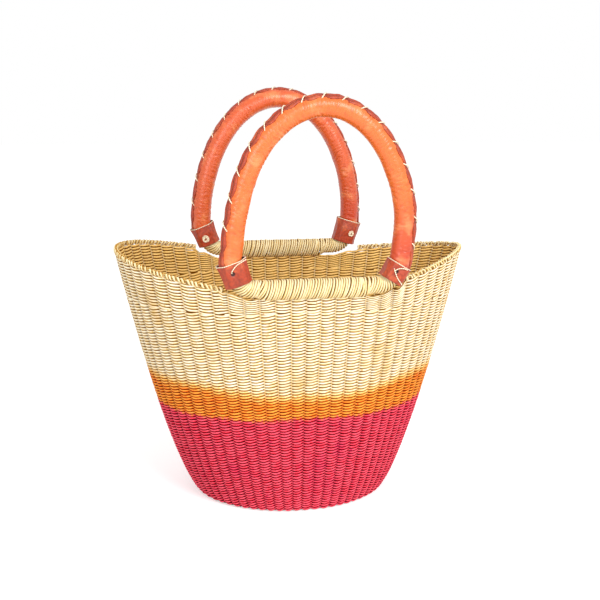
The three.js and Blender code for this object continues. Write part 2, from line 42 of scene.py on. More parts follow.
mm = 0.001
hands = ((-1, "left"), (1, "right"))
maths, vectorMaths = "ShaderNodeMath", "ShaderNodeVectorMath"
ramp, mixing = "ShaderNodeMapRange", "ShaderNodeMix"
softly, inColour = dict(interpolation_type="SMOOTHSTEP"), dict(data_type="RGBA")    # for ramps and mixes
plus, minus, times, divided, timesPlus, scaled = (
    dict(operation=word) for word in ("ADD", "SUBTRACT", "MULTIPLY", "DIVIDE", "MULTIPLY_ADD", "SCALE"))


# helpers
def linearColour(hexText, alpha=1.0):
    parts = [int(hexText[i:i + 2], 16) / 255 for i in (1, 3, 5)]
    return tuple(c / 12.92 if c <= 0.04045 else ((c + 0.055) / 1.055) ** 2.4 for c in parts) + (alpha,)


# adds a node with its settings and links and returns its first output; a value that is a socket becomes a link
def node(tree, kind, inputs=(), **settings):
    made = tree.nodes.new(kind)
    for name, value in settings.items():
        setattr(made, name, value)
    for key, value in inputs.items() if isinstance(inputs, dict) else enumerate(inputs):
        if isinstance(value, bpy.types.NodeSocket):
            tree.links.new(value, made.inputs[key])
        else:
            made.inputs[key].default_value = value
    return next((socket for socket in made.outputs if socket.enabled), None)


def addObject(name, mesh):
    made = bpy.data.objects.new(name, mesh)
    bpy.context.scene.collection.objects.link(made)
    return made


def meshObject(name, points, faces, smooth=True, material=None):
    mesh = bpy.data.meshes.new(name)
    mesh.from_pydata([tuple(p) for p in points], [], faces)
    mesh.validate()
    if smooth:
        mesh.shade_smooth()
    if material:
        mesh.materials.append(material)
    return addObject(name, mesh)


# a mesh grid through rows of points, with a UV map from 0 to 1 both ways and the float attributes given;
# closed joins each row's ends
def gridObject(name, rows, closed=False, capped=False, material=None, **floats):
    across = len(rows[0])
    spans = across if closed else across - 1
    faces = []
    places = []
    for r in range(len(rows) - 1):
        for c in range(spans):
            d = (c + 1) % across
            faces.append((r * across + c, r * across + d, (r + 1) * across + d, (r + 1) * across + c))
            corners = ((c, r), (c + 1, r), (c + 1, r + 1), (c, r + 1))
            places.append([(x / spans, y / (len(rows) - 1)) for x, y in corners])
    if capped:
        last = (len(rows) - 1) * across
        faces += [tuple(reversed(range(across))), tuple(range(last, last + across))]
        places += [[(0, 0)] * across, [(0, 1)] * across]
    made = meshObject(name, [p for row in rows for p in row], faces, material=material)
    layer = made.data.uv_layers.new(name="form")
    layer.data.foreach_set("uv", [v for face in places for corner in face for v in corner])
    for attribute, values in floats.items():
        made.data.attributes.new(attribute, "FLOAT", "POINT").data.foreach_set("value", values)
    return made


# a curve object through points, to feed a tree
def pathObject(name, points, radii):
    curve = bpy.data.curves.new(name, "CURVE")
    curve.dimensions = "3D"
    spline = curve.splines.new("POLY")
    spline.points.add(len(points) - 1)
    spline.points.foreach_set("co", [v for p in points for v in (*p, 1)])
    spline.points.foreach_set("radius", radii)
    return addObject(name, curve)


# runs a tree over an object and returns the result as a plain mesh object
def grownMesh(name, source, tree, inputs):
    modifier = source.modifiers.new("grow", "NODES")
    modifier.node_group = tree
    identifiers = {item.name: item.identifier for item in tree.interface.items_tree if item.in_out == "INPUT"}
    for key, value in inputs.items():
        modifier[identifiers[key]] = value
    evaluated = source.evaluated_get(bpy.context.evaluated_depsgraph_get())
    mesh = bpy.data.meshes.new_from_object(evaluated)
    mesh.name = name
    source.modifiers.remove(modifier)
    made = addObject(name, mesh)
    print(" ", name, sum(len(p.vertices) - 2 for p in mesh.polygons), "triangles")
    return made


def joined(name, pieces):
    with bpy.context.temp_override(active_object=pieces[0], selected_editable_objects=pieces):
        bpy.ops.object.join()
    pieces[0].name = pieces[0].data.name = name
    return pieces[0]


def drop(*objects):
    for made in objects:
        bpy.data.objects.remove(made)


# which solid a finished piece stands for, and which body it rides on
def finishPiece(piece, cadNode, body):
    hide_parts(cadNode)
    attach(piece, body)


def newTree(name, sockets):
    tree = bpy.data.node_groups.new(name, "GeometryNodeTree")
    tree.interface.new_socket("Geometry", in_out="INPUT", socket_type="NodeSocketGeometry")
    for label, kind in sockets.items():
        tree.interface.new_socket(label, in_out="INPUT", socket_type="NodeSocket" + kind)
    tree.interface.new_socket("Geometry", in_out="OUTPUT", socket_type="NodeSocketGeometry")
    return tree


# basket wall: the same oval, flare and rim as in the solids
wallShape = dict(
    baseLength=108 * mm, baseDepth=86 * mm,
    leftMouth=200 * mm, rightMouth=197 * mm,
    mouthDepth=122 * mm, flatDepth=110 * mm, flatSoftness=2.5 * mm,
    leftTip=285 * mm, rightTip=282 * mm, middle=254 * mm,
    rimTwist=4 * mm, rimSoftness=0.42, flare=0.72,
    leftFullness=2.0, rightFullness=1.75,
    thickness=5 * mm,
    edgeRadius=3 * mm,                 # how roundly the wall turns in to the base
    bandTops=(114 * mm, 151 * mm),     # red, then orange
    levelRowsTop=233.85 * mm,          # above this the rows follow the rim
    barUnderside=253 * mm,             # wall under the handle bars
    rowsBelowRim=1 * mm,
    braidDepth=3.6 * mm,               # how much lower the rows end where the plaited border lies on them,
    braidStart=(92 * mm, 108 * mm),    # which it begins to do between these distances from the middle
    footClearance=0.9 * mm,
    footRoom=dict(    # lowest sweep of the turning feet and cuffs in mm: distance from the middle, height
        front_left=((50, 253), (60, 250), (70, 250), (76, 252.2), (80, 253.9), (84, 256.4), (88, 258.4),
                    (96, 257.7), (100, 264), (106, 270)),
        front_right=((50, 253), (60, 250), (70, 250), (76, 252), (80, 253.6), (84, 255.6), (88, 255.2),
                     (92, 253.8), (96, 257), (100, 261), (106, 268)),
        back_left=((50, 253), (60, 250), (70, 250), (76, 251.8), (80, 253.3), (84, 255.5), (88, 258.2),
                   (96, 258), (100, 264), (106, 270)),
        back_right=((50, 253), (60, 250), (72, 250), (76, 251), (80, 251.9), (84, 253.4), (88, 255.7),
                    (92, 257.2), (96, 256.4), (100, 255.4), (104, 264), (108, 270))),
)


def power(value, exponent):
    return math.copysign(abs(value) ** exponent, value)


def smooth(value, low, high):
    t = min(max((value - low) / (high - low), 0), 1)
    return t * t * (3 - 2 * t)


def endOf(turn):
    return "left" if math.cos(turn) < 0 else "right"


def wallOutside(turn, z):
    w, end = wallShape, endOf(turn)
    tip = max(w["leftTip"], w["rightTip"])
    fullness = 2 + (w[end + "Fullness"] - 2) * z / tip
    rise = max(z / tip, 0) ** w["flare"]
    sideRise = max(z / w["middle"], 0) ** w["flare"]
    length = w["baseLength"] + (w[end + "Mouth"] - w["baseLength"]) * rise
    depth = w["baseDepth"] + (w["mouthDepth"] - w["baseDepth"]) * sideRise
    flat = w["baseDepth"] + (w["flatDepth"] - w["baseDepth"]) * sideRise
    y = depth * power(math.sin(turn), 2 / fullness)
    soft = w["flatSoftness"]
    y = math.copysign(min(abs(y), flat, (abs(y) + flat - soft) / 2 + 0.25 * soft), y)
    return Vector((length * power(math.cos(turn), 2 / fullness), y, z))


def wallMiddle(turn, z):
    step, rise = 0.02, 4 * mm    # over which the wall's direction is taken
    around = wallOutside(turn + step, z) - wallOutside(turn - step, z)
    up = wallOutside(turn, z + rise) - wallOutside(turn, z)
    out = around.cross(up).normalized()
    edge = wallShape["edgeRadius"]
    inset = edge - math.sqrt(edge ** 2 - max(edge - z, 0) ** 2)
    level = Vector((out.x, out.y, 0)).normalized()
    return wallOutside(turn, z) - out * wallShape["thickness"] / 2 - level * inset


def rimHeight(turn):
    w, end = wallShape, endOf(turn)
    reach = abs(math.cos(turn)) ** (2 / w[end + "Fullness"])
    soft = w["rimSoftness"]
    rise = (math.hypot(reach, soft) - soft) / (math.hypot(1, soft) - soft)
    return w["middle"] + (w[end + "Tip"] - w["middle"]) * rise - w["rimTwist"] * math.sin(2 * turn) * reach


# top of the woven rows under the border
def rowsRim(turn):
    w = wallShape
    x = abs(wallOutside(turn, w["middle"]).x)
    return rimHeight(turn) - w["rowsBelowRim"] - w["braidDepth"] * smooth(x, *w["braidStart"])


# how high the turning feet let the rows come; the upper rows dip under them
def rowsCeiling(turn):
    spot = wallOutside(turn, wallShape["middle"])
    room = wallShape["footRoom"][("front_" if spot.y < 0 else "back_") + endOf(turn)]
    x = abs(spot.x) / mm
    if x <= room[0][0]:
        return wallShape["barUnderside"]
    for (near, low), (far, high) in zip(room, room[1:]):
        if x < far:
            return (low + (high - low) * (x - near) / (far - near)) * mm - wallShape["footClearance"]
    return math.inf


# picks values whose running lengths are evenly spaced
def evenly(values, lengths, count):
    found = []
    j = 0
    for i in range(count + 1):
        wanted = lengths[-1] * i / count
        while j < len(values) - 2 and lengths[j + 1] < wanted:
            j += 1
        part = (wanted - lengths[j]) / (lengths[j + 1] - lengths[j])
        found.append(values[j] + part * (values[j + 1] - values[j]))
    return found


# turns that are evenly spaced along the wall at half height, starting in the middle of the front
def evenTurns(count, samples=1440):
    turns = [-math.pi / 2 + 2 * math.pi * i / samples for i in range(samples + 1)]
    points = [wallOutside(turn, wallShape["bandTops"][1]) for turn in turns]
    lengths = [0.0]
    for a, b in zip(points, points[1:]):
        lengths.append(lengths[-1] + (b - a).length)
    return evenly(turns, lengths, count)


# heights whose distance along the sloping wall is even
def evenHeights(low, high, count, samples=200):
    heights = [low + (high - low) * i / samples for i in range(samples + 1)]
    lengths = [0.0]
    for a, b in zip(heights, heights[1:]):
        tip, side = ((wallOutside(turn, b) - wallOutside(turn, a)).length for turn in (0, -math.pi / 2))
        lengths.append(lengths[-1] + (tip + 2 * side) / 3)
    return evenly(heights, lengths, count), lengths[-1]


# twined weaving: two strands a row, crossing between the spokes
weave = dict(
    rowPitch=3.3 * mm, columns=60, stepsPerColumn=5, formColumns=240,
    strandWidth=2.9 * mm, strandThickness=1.8 * mm, strandSides=6,
    bulge=dict(red=1.8 * mm, orange=1.6 * mm, natural=1.5 * mm),    # over a spoke, off the wall's middle
    fullness=0.4,                               # how much sooner than in a plain wave it gets there
    twist=0.2, sag=0.16, unevenness=0.45,       # in rows
    ownWaves=0.35, bulgeWaves=0.3,              # of one strand alone, up and down and in and out
    slowScale=0.45, slowDrift=0.35,             # of the waves that neighbouring rows share
    ownScale=0.9,
    pinch=0.12,                                 # how much thinner a strand is where it crosses
    spokeShare=0.9, spokeThickness=1.1 * mm,    # how much of a column a spoke fills
    firstRow=1.7 * mm, spokeStart=2 * mm,       # above the floor
    spokeEnd=0.4 * mm,                          # below the rows' top
    rimRows=16, rimWidth=2.8 * mm,              # the rows that follow the rim
    rimUnevenness=0.25, rimLap=0.9 * mm,
)


def twinedRowsTree():
    tree = newTree("twinedRows", {
        "Rows": "Int", "First Row": "Int", "Last Row": "Int", "Columns": "Int", "Steps": "Int",
        "Bulge": "Float", "Twist": "Float", "Sag": "Float", "Pinch": "Float", "Unevenness": "Float",
        "Width": "Float", "Thickness": "Float", "Sides": "Int", "Seed": "Float", "Material": "Material"})
    given = node(tree, "NodeGroupInput").node.outputs
    index = node(tree, "GeometryNodeInputIndex")
    around = node(tree, maths, (given["Columns"], given["Steps"]), **times)
    shown = node(tree, maths, (given["Last Row"], given["First Row"]), **minus)
    strandCount = node(tree, maths, (shown, 2.0), **times)
    step = node(tree, maths, (index, around), operation="MODULO")
    lap = node(tree, maths, (index, around), **divided)
    strand = node(tree, maths, (lap,), operation="FLOOR")
    hand = node(tree, maths, (strand, 2.0), operation="MODULO")    # the two strands of a row
    pair = node(tree, maths, (strand, 2.0), **divided)
    rowHere = node(tree, maths, (pair,), operation="FLOOR")
    row = node(tree, maths, (rowHere, given["First Row"]), **plus)
    turnShare = node(tree, maths, (step, around), **divided)
    column = node(tree, maths, (turnShare, given["Columns"]), **times)
    wave = node(tree, maths, (column, hand), **plus)
    angle = node(tree, maths, (wave, math.pi), **times)
    out = node(tree, maths, (angle,), operation="COSINE")
    side = node(tree, maths, (angle,), operation="SINE")
    outSquare = node(tree, maths, (out, out), **times)
    sideSquare = node(tree, maths, (side, side), **times)
    fuller = node(tree, maths, (outSquare, -weave["fullness"], 1 + weave["fullness"]), **timesPlus)
    outFull = node(tree, maths, (out, fuller), **times)
    pinching = node(tree, maths, (sideSquare, given["Pinch"]), **times)
    size = node(tree, maths, (1.0, pinching), **minus)
    # slow waves that neighbouring rows share, and small ones of each strand
    rowSeed = node(tree, maths, (row, weave["slowDrift"], given["Seed"]), **timesPlus)
    slowPlace = node(tree, "ShaderNodeCombineXYZ", (column, rowSeed))
    slow = node(tree, "ShaderNodeTexNoise", {"Vector": slowPlace, "Scale": weave["slowScale"], "Detail": 1.0})
    ownPlace = node(tree, "ShaderNodeCombineXYZ", (column, strand, given["Seed"]))
    own = node(tree, "ShaderNodeTexNoise", {"Vector": ownPlace, "Scale": weave["ownScale"], "Detail": 0.0})
    slowShift = node(tree, maths, (slow, 0.5), **minus)
    ownShift = node(tree, maths, (own, 0.5), **minus)
    shift = node(tree, maths, (ownShift, weave["ownWaves"], slowShift), **timesPlus)
    drift = node(tree, maths, (shift, given["Unevenness"]), **times)
    twisting = node(tree, maths, (side, given["Twist"]), **times)
    sagging = node(tree, maths, (outSquare, given["Sag"]), **times)
    lowered = node(tree, maths, (twisting, sagging), **minus)
    raised = node(tree, maths, (lowered, drift), **plus)
    level = node(tree, maths, (row, raised), **plus)
    middle = node(tree, maths, (level, 0.5), **plus)
    share = node(tree, maths, (middle, given["Rows"]), **divided)
    shareBelow = node(tree, maths, (share, 0.9999), operation="MINIMUM")    # just inside the form's edges
    shareInside = node(tree, maths, (shareBelow, 0.0001), operation="MAXIMUM")
    uneven = node(tree, maths, (ownShift, weave["bulgeWaves"], 1.0), **timesPlus)
    offset = node(tree, maths, (outFull, given["Bulge"]), **times)
    offsetHere = node(tree, maths, (offset, uneven), **times)
    form = node(tree, "GeometryNodeInputNamedAttribute", {"Name": "form"}, data_type="FLOAT_VECTOR")
    where = node(tree, "ShaderNodeCombineXYZ", (turnShare, shareInside))
    onForm, normal, keep, fit = (
        node(tree, "GeometryNodeSampleUVSurface", {
            "Mesh": given["Geometry"], "UV Map": form, "Sample UV": where, "Value": value}, data_type=kind)
        for value, kind in (
            (node(tree, "GeometryNodeInputPosition"), "FLOAT_VECTOR"),
            (node(tree, "GeometryNodeInputNormal"), "FLOAT_VECTOR"),
            (node(tree, "GeometryNodeInputNamedAttribute", {"Name": "keep"}, data_type="FLOAT"), "FLOAT"),
            (node(tree, "GeometryNodeInputNamedAttribute", {"Name": "fit"}, data_type="FLOAT"), "FLOAT")))
    fitSize = node(tree, maths, (size, fit), **times)
    away = node(tree, vectorMaths, {0: normal, "Scale": offsetHere}, **scaled)
    placed = node(tree, vectorMaths, (onForm, away), **plus)
    ring = node(tree, "GeometryNodeMeshCircle", {"Vertices": around})
    finishStrands(tree, given, strandCount, ring, dict(place=placed, facing=normal),
                  dict(keepHere=keep, size=fitSize, along=column, strand=strand, crest=out))
    return tree


# repeats a line of points for every strand, puts the points in their places, drops those outside the weave
# and gives the curves through the rest their oval section, with where each point lies on it
def finishStrands(tree, given, strandCount, line, vectors, numbers):
    copies = node(tree, "GeometryNodeMeshLine", {"Count": strandCount})
    lines = node(tree, "GeometryNodeInstanceOnPoints", {"Points": copies, "Instance": line})
    flow = node(tree, "GeometryNodeRealizeInstances", (lines,))
    stored = {}
    for values, kind in ((vectors, "FLOAT_VECTOR"), (numbers, "FLOAT")):
        for name, value in values.items():
            flow = node(tree, "GeometryNodeStoreNamedAttribute", {
                "Geometry": flow, "Name": name, "Value": value}, data_type=kind, domain="POINT")
            stored[name] = node(tree, "GeometryNodeInputNamedAttribute", {"Name": name}, data_type=kind)
    flow = node(tree, "GeometryNodeSetPosition", {"Geometry": flow, "Position": stored["place"]})
    outside = node(tree, "FunctionNodeCompare", (stored["keepHere"], 0.0), operation="LESS_THAN")
    flow = node(tree, "GeometryNodeDeleteGeometry", {"Geometry": flow, "Selection": outside}, domain="POINT")
    flow = node(tree, "GeometryNodeMeshToCurve", {"Mesh": flow})
    flow = node(tree, "GeometryNodeSetCurveNormal", {"Curve": flow, "Normal": stored["facing"]}, mode="FREE")
    section = node(tree, "GeometryNodeCurvePrimitiveCircle", {"Resolution": given["Sides"], "Radius": 0.5})
    position = node(tree, "GeometryNodeInputPosition")
    doubled = node(tree, vectorMaths, {0: position, "Scale": 2.0}, **scaled)
    section = node(tree, "GeometryNodeStoreNamedAttribute", {
        "Geometry": section, "Name": "section", "Value": doubled}, data_type="FLOAT_VECTOR", domain="POINT")
    scale = node(tree, "ShaderNodeCombineXYZ", (given["Thickness"], given["Width"], 1.0))
    section = node(tree, "GeometryNodeTransform", {"Geometry": section, "Scale": scale})
    flow = node(tree, "GeometryNodeCurveToMesh", {
        "Curve": flow, "Profile Curve": section, "Scale": stored["size"], "Fill Caps": True})
    flow = node(tree, "GeometryNodeSetShadeSmooth", {"Geometry": flow})
    flow = node(tree, "GeometryNodeSetMaterial", {"Geometry": flow, "Material": given["Material"]})
    flow = node(tree, "GeometryNodeRealizeInstances", (flow,))
    node(tree, "NodeGroupOutput", (flow,))


rowsTree = twinedRowsTree()


# a former: rows of points over the wall, with how far inside the woven part each one lies and how closely the
# rows are packed there
def wallFormer(name, heightsAt, keepAt, fitAt):
    turns = evenTurns(weave["formColumns"])
    columns = [heightsAt(turn) for turn in turns]
    rows = [[wallMiddle(turn, column[r]) for turn, column in zip(turns, columns)]
            for r in range(len(columns[0]))]
    return gridObject(name, rows, keep=[keepAt(p.z) for row in rows for p in row],
                      fit=[fitAt(turn) for turn in turns] * len(rows))


def wovenBand(name, former, rows, first, last, material, bulge, **changes):
    return grownMesh(name, former, rowsTree, {
        "Rows": rows, "First Row": first, "Last Row": last, "Material": material, "Bulge": bulge,
        "Columns": weave["columns"], "Steps": weave["stepsPerColumn"], "Twist": weave["twist"],
        "Sag": weave["sag"], "Pinch": weave["pinch"], "Unevenness": weave["unevenness"],
        "Width": weave["strandWidth"], "Thickness": weave["strandThickness"], "Sides": weave["strandSides"],
        "Seed": 1.0, **changes})


# materials
def newMaterial(name, **shader):
    material = bpy.data.materials.new(name)
    material.use_nodes = True
    tree = material.node_tree
    surface = tree.nodes["Principled BSDF"]
    for key, value in shader.items():
        surface.inputs[key.replace("_", " ")].default_value = value
    return material, tree, surface


def linkSurface(tree, surface, **sockets):
    for key, socket in sockets.items():
        tree.links.new(socket, surface.inputs[key.replace("_", " ")])


# lays one colour over another for each share in turn
def layered(tree, colour, layers):
    for share, above in layers:
        below = linearColour(colour) if isinstance(colour, str) else colour
        colour = node(tree, mixing, {0: share, 6: below, 7: linearColour(above)}, **inColour)
    return colour


# colours of the twisted straw after each dye bath: where light catches it, as a painted highlight and in paler
# floats at random, on the whole, painted shade at a strand's edges, dark fibre streaks and painted shade deep
# in the gaps, in odd patches and inside the basket
straw = dict(
    natural=dict(light="#FFFAE2", mean="#ECCC7E", edge="#DA9E3A",
                 deep="#643608", odd="#DEB464", inside="#FFD274"),
    fading=dict(light="#FFE08A", mean="#F6AC30", edge="#CE7014",
                deep="#80380A", odd="#F09A3C", inside="#D99445"),
    orange=dict(light="#FFAC46", mean="#EE600C", edge="#B43A04",
                deep="#5C1404", odd="#E25420", inside="#D9702C"),
    red=dict(light="#FF6074", mean="#DC0A28", edge="#8C0218",
             deep="#380208", odd="#C81656", inside="#B8203A"),
    winding=dict(light="#FBEEC2", mean="#EBD08C", edge="#BC862E",
                 deep="#70400E", odd="#DDB66A", inside="#DCA95C"),
    floatLength=15.5 * mm,                 # of a strand over one spoke
    windingLength=60 * mm,                 # of one turn round a handle's bar
    fibreWidth=0.35 * mm,                  # three to a millimetre, coarser than real, so that they show
    fibreLength=7 * mm,
    patchSize=38.46 * mm,
    rises=dict(    # height where each colour takes over, and how softly
        orange=(114 * mm, 2.5 * mm), fading=(147 * mm, 5 * mm), natural=(154 * mm, 6 * mm)),
    bleed=14 * mm,                         # how unevenly the dyes meet
    dip=12 * mm,                           # how much lower the dye ends in the middle of front and back
    dipReach=(20 * mm, 125 * mm),          # whole up to the first distance from there, gone at the second
    # how strong each colour change is, the painted highlight and the painted shade under crossings among them
    most=dict(tone=0.5, upper=0.75, odd=0.6, fibre=0.45, under=0.92, inside=0.85),    # of each colour change
    gloss=(0.6, 0.42),                     # roughness between fibres and along them
)


# twisted veta vera grass, sun dried and dipped in dye: dull with a slight gloss along each fibre, with a
# painted highlight on the upper half of each strand and painted shade along its edges and where it passes
# under its neighbours
def strawMaterial(name, baths, length):
    material, tree, surface = newMaterial(name, Specular_IOR_Level=0.02)
    along, strand, crest, section = (
        node(tree, "ShaderNodeAttribute", attribute_name=part).node.outputs[output]
        for part, output in (("along", "Fac"), ("strand", "Fac"), ("crest", "Fac"), ("section", "Vector")))
    edges = node(tree, "ShaderNodeSeparateXYZ", (section,)).node.outputs
    place = node(tree, "ShaderNodeTexCoord").node.outputs["Object"]
    ownShift = node(tree, maths, (strand, 7.31), **times)    # so that no two strands look the same
    spot = node(tree, "ShaderNodeCombineXYZ", (along, ownShift))
    floatTone = node(tree, "ShaderNodeTexNoise", {"Vector": spot, "Scale": 1.6, "Detail": 1.0})
    speck = node(tree, "ShaderNodeTexNoise", {"Vector": spot, "Scale": 5.0})
    patch = node(tree, "ShaderNodeTexNoise", {"Vector": place, "Scale": 1 / straw["patchSize"]})
    lengthwise = node(tree, maths, (along, length / straw["fibreLength"], ownShift), **timesPlus)
    crosswise = node(tree, vectorMaths, {
        0: section, "Scale": weave["strandWidth"] / 2 / straw["fibreWidth"]}, **scaled)
    stretched = node(tree, "ShaderNodeCombineXYZ", {2: lengthwise})
    fibreSpot = node(tree, vectorMaths, (crosswise, stretched), **plus)
    fibres = node(tree, "ShaderNodeTexNoise", {
        "Vector": fibreSpot, "Scale": 1.0, "Detail": 3.0, "Roughness": 0.65})

    most = straw["most"]
    tone = node(tree, ramp, (floatTone, 0.38, 0.6, 0.0, most["tone"]), **softly)
    # painted highlight on the upper half of each strand's section, added to the floats' random paler tone
    upper = node(tree, ramp, (edges[1], 0.4, -0.4, 0.0, most["upper"]), **softly)    # where light catches
    toneAndHighlight = node(tree, maths, (tone, upper), **plus)
    patchShare = node(tree, ramp, (patch, 0.55, 0.8, 0.0, most["odd"]), **softly)
    speckShare = node(tree, ramp, (speck, 0.6, 0.78), **softly)
    oddShare = node(tree, maths, (patchShare, speckShare), operation="MAXIMUM")
    fibreShare = node(tree, ramp, (fibres, 0.5, 0.3, 0.0, most["fibre"]), **softly)
    faceSquare = node(tree, maths, (edges[0], edges[0]), **times)
    # painted shade at a strand's upper and lower edges, in the gaps between rows; it also sets how much of the
    # shade under crossings shows
    gapShadeShare = node(tree, ramp, (faceSquare, 0.6, 0.05), **softly)
    # painted shade where a strand passes under its neighbours at a crossing
    crestSquare = node(tree, maths, (crest, crest), **times)
    crossingShadeShare = node(tree, ramp, (crestSquare, 0.26, 0.04, 0.0, most["under"]), **softly)    # at crossings
    hiding = node(tree, maths, (gapShadeShare, 0.78, 0.22), **timesPlus)
    paintedShadeShare = node(tree, maths, (hiding, crossingShadeShare), **times)
    # the deep colour serves both the dark fibre streaks and this painted shade
    fibreAndShadeShare = node(tree, maths, (fibreShare, paintedShadeShare), operation="MAXIMUM")
    insideShare = node(tree, ramp, (crest, 0.2, -0.15, 0.0, most["inside"]), **softly)
    shares = (
        (toneAndHighlight, "light"), (oddShare, "odd"), (insideShare, "inside"), (gapShadeShare, "edge"), (fibreAndShadeShare, "deep"))

    def bathColour(dye):
        return layered(tree, dye["mean"], [(share, dye[part]) for share, part in shares])

    colour = bathColour(straw[baths[0]])
    if len(baths) > 1:
        parts = node(tree, "ShaderNodeSeparateXYZ", (place,)).node.outputs
        jag = node(tree, maths, (speck, 0.5), **minus)
        height = node(tree, maths, (jag, straw["bleed"], parts[2]), **timesPlus)
        reach = node(tree, maths, (parts[0],), operation="ABSOLUTE")
        low, high = straw["dipReach"]
        dip = node(tree, ramp, (reach, high, low, 0.0, straw["dip"]), **softly)
        raised = node(tree, maths, (height, dip), **plus)
    for bath in baths[1:]:
        middle, fade = straw["rises"][bath]
        level = height if bath == "orange" else raised
        share = node(tree, ramp, (level, middle - fade, middle + fade), **softly)
        colour = node(tree, mixing, {0: share, 6: colour, 7: bathColour(straw[bath])}, **inColour)
    roughness = node(tree, ramp, (fibres, 0.3, 0.7, *straw["gloss"]))
    bump = node(tree, "ShaderNodeBump", {
        "Strength": 0.7, "Distance": straw["fibreWidth"] * 0.6, "Height": fibres})
    linkSurface(tree, surface, Base_Color=colour, Roughness=roughness, Normal=bump)
    return material


leather = dict(
    # the sleeve's crease colour is painted shade in its wrinkles and on its hidden inner face; the trim's dark
    # colour serves darker rubbed spots and painted shade in its grooves, folds and hollows, and its light
    # colour serves worn patches and a painted highlight; the hole's near black is painted shade in the punched
    # hole
    sleeveFront="#E46C28", sleeveBack="#D65A28", sleeveLow="#C23E16", sleeveShade="#A83412",
    sleeveWorn="#F0945A", trim="#B03A10", trimWornAndHighlight="#CC5C2C", trimRubbedAndShade="#4A0E06", hole="#0C0201",
    grain=0.5 * mm, mottle=16.67 * mm, rubbing=2.632 * mm,    # size of pores, worn patches, rubbed spots
    wrinkles=(7, 230, 1),                               # round the sleeve and along it
    wrinkleDepth=0.6 * mm, wrinkleSlant=0.02,
    depthSplit=60 * mm,                                 # over which the sleeve turns darker from the front handle to the back one
    redness=(335 * mm, 245 * mm), rednessSlope=0.42,    # heights and slope over which it turns darker and redder low on the legs, most on the right
    sleeveFinish=dict(Roughness=0.38, Coat_Weight=0.3, Coat_Roughness=0.24),
    trimFinish=dict(Roughness=0.5, Coat_Weight=0.12, Coat_Roughness=0.24),
)


# thin goat leather, dyed and glazed: tight grain, a strong narrow gloss, painted shade in the creases, grooves
# and punched holes and on hidden faces, and paler where it is worn, which on the trim is also a painted
# highlight
def leatherMaterial(name, trim):
    material, tree, surface = newMaterial(name, **leather["trimFinish" if trim else "sleeveFinish"])
    place = node(tree, "ShaderNodeTexCoord").node.outputs["Object"]
    broad = node(tree, "ShaderNodeTexNoise", {"Vector": place, "Scale": 1 / leather["mottle"], "Detail": 3.0})
    fine = node(tree, "ShaderNodeTexNoise", {"Vector": place, "Scale": 1 / leather["rubbing"], "Detail": 3.0})
    pores = node(tree, "ShaderNodeTexVoronoi", {"Vector": place, "Scale": 0.6 / leather["grain"]})
    # painted shade that each leather mesh carries: in its creases, grooves and hollows, its punched holes and
    # its hidden faces
    crease = node(tree, "ShaderNodeAttribute", attribute_name="crease").node.outputs["Fac"]
    # paler patches: wear on the sleeve, and on the trim wear and a painted highlight
    wornAndHighlit = node(tree, ramp, (broad, 0.5, 0.72), **softly)
    if trim:
        rubbed = node(tree, ramp, (fine, 0.62, 0.35, 0.0, 0.35), **softly)
        # painted shade in the punched hole, up to near black
        hole = node(tree, ramp, (crease, 1.0, 1.6), **softly)
        # on the trim: paler patches that are wear and painted highlight, darker rubbed spots, and painted
        # shade in creases and the hole
        ground, layers = "trim", (
            (wornAndHighlit, "trimWornAndHighlight"), (rubbed, "trimRubbedAndShade"), (crease, "trimRubbedAndShade"), (hole, "hole"))
    else:
        parts = node(tree, "ShaderNodeSeparateXYZ", (place,)).node.outputs
        back = node(tree, ramp, (parts[1], -leather["depthSplit"], leather["depthSplit"]))
        sunk = node(tree, maths, (parts[0], -leather["rednessSlope"], parts[2]), **timesPlus)
        low = node(tree, ramp, (sunk, *leather["redness"]), **softly)
        faint = node(tree, maths, (wornAndHighlit, 0.6), **times)
        # paler worn patches, and painted shade in the wrinkles and inside
        ground, layers = "sleeveFront", (
            (back, "sleeveBack"), (low, "sleeveLow"), (faint, "sleeveWorn"), (crease, "sleeveShade"))
    colour = layered(tree, leather[ground], [(share, leather[part]) for share, part in layers])
    grain = node(tree, maths, (pores, 0.75, fine), **timesPlus)
    bump = node(tree, "ShaderNodeBump", {
        "Strength": 0.35, "Distance": leather["grain"] * 0.25, "Height": grain})
    if not trim:    # fine wrinkles across the sleeve, pulled aslant towards the seam
        across = node(tree, "ShaderNodeTexCoord").node.outputs["UV"]
        pulled = node(tree, "ShaderNodeMapping", {
            "Vector": across, "Rotation": (0, 0, leather["wrinkleSlant"]), "Scale": leather["wrinkles"]})
        wrinkles = node(tree, "ShaderNodeTexNoise", {"Vector": pulled, "Scale": 1.0, "Detail": 2.0})
        bump = node(tree, "ShaderNodeBump", {
            "Distance": leather["wrinkleDepth"], "Height": wrinkles, "Normal": bump})
    linkSurface(tree, surface, Base_Color=colour, Normal=bump)
    return material


cotton = dict(
    # groove is the painted shade between the plies, soiled the dirty spots
    light="#FBF2DA", groove="#C9A56C", soiled="#E4CFA6",
    turnLength=2.2 * mm, plyDepth=0.15 * mm, fuzz=1.111 * mm,    # fuzz is the size of soiled spots
)


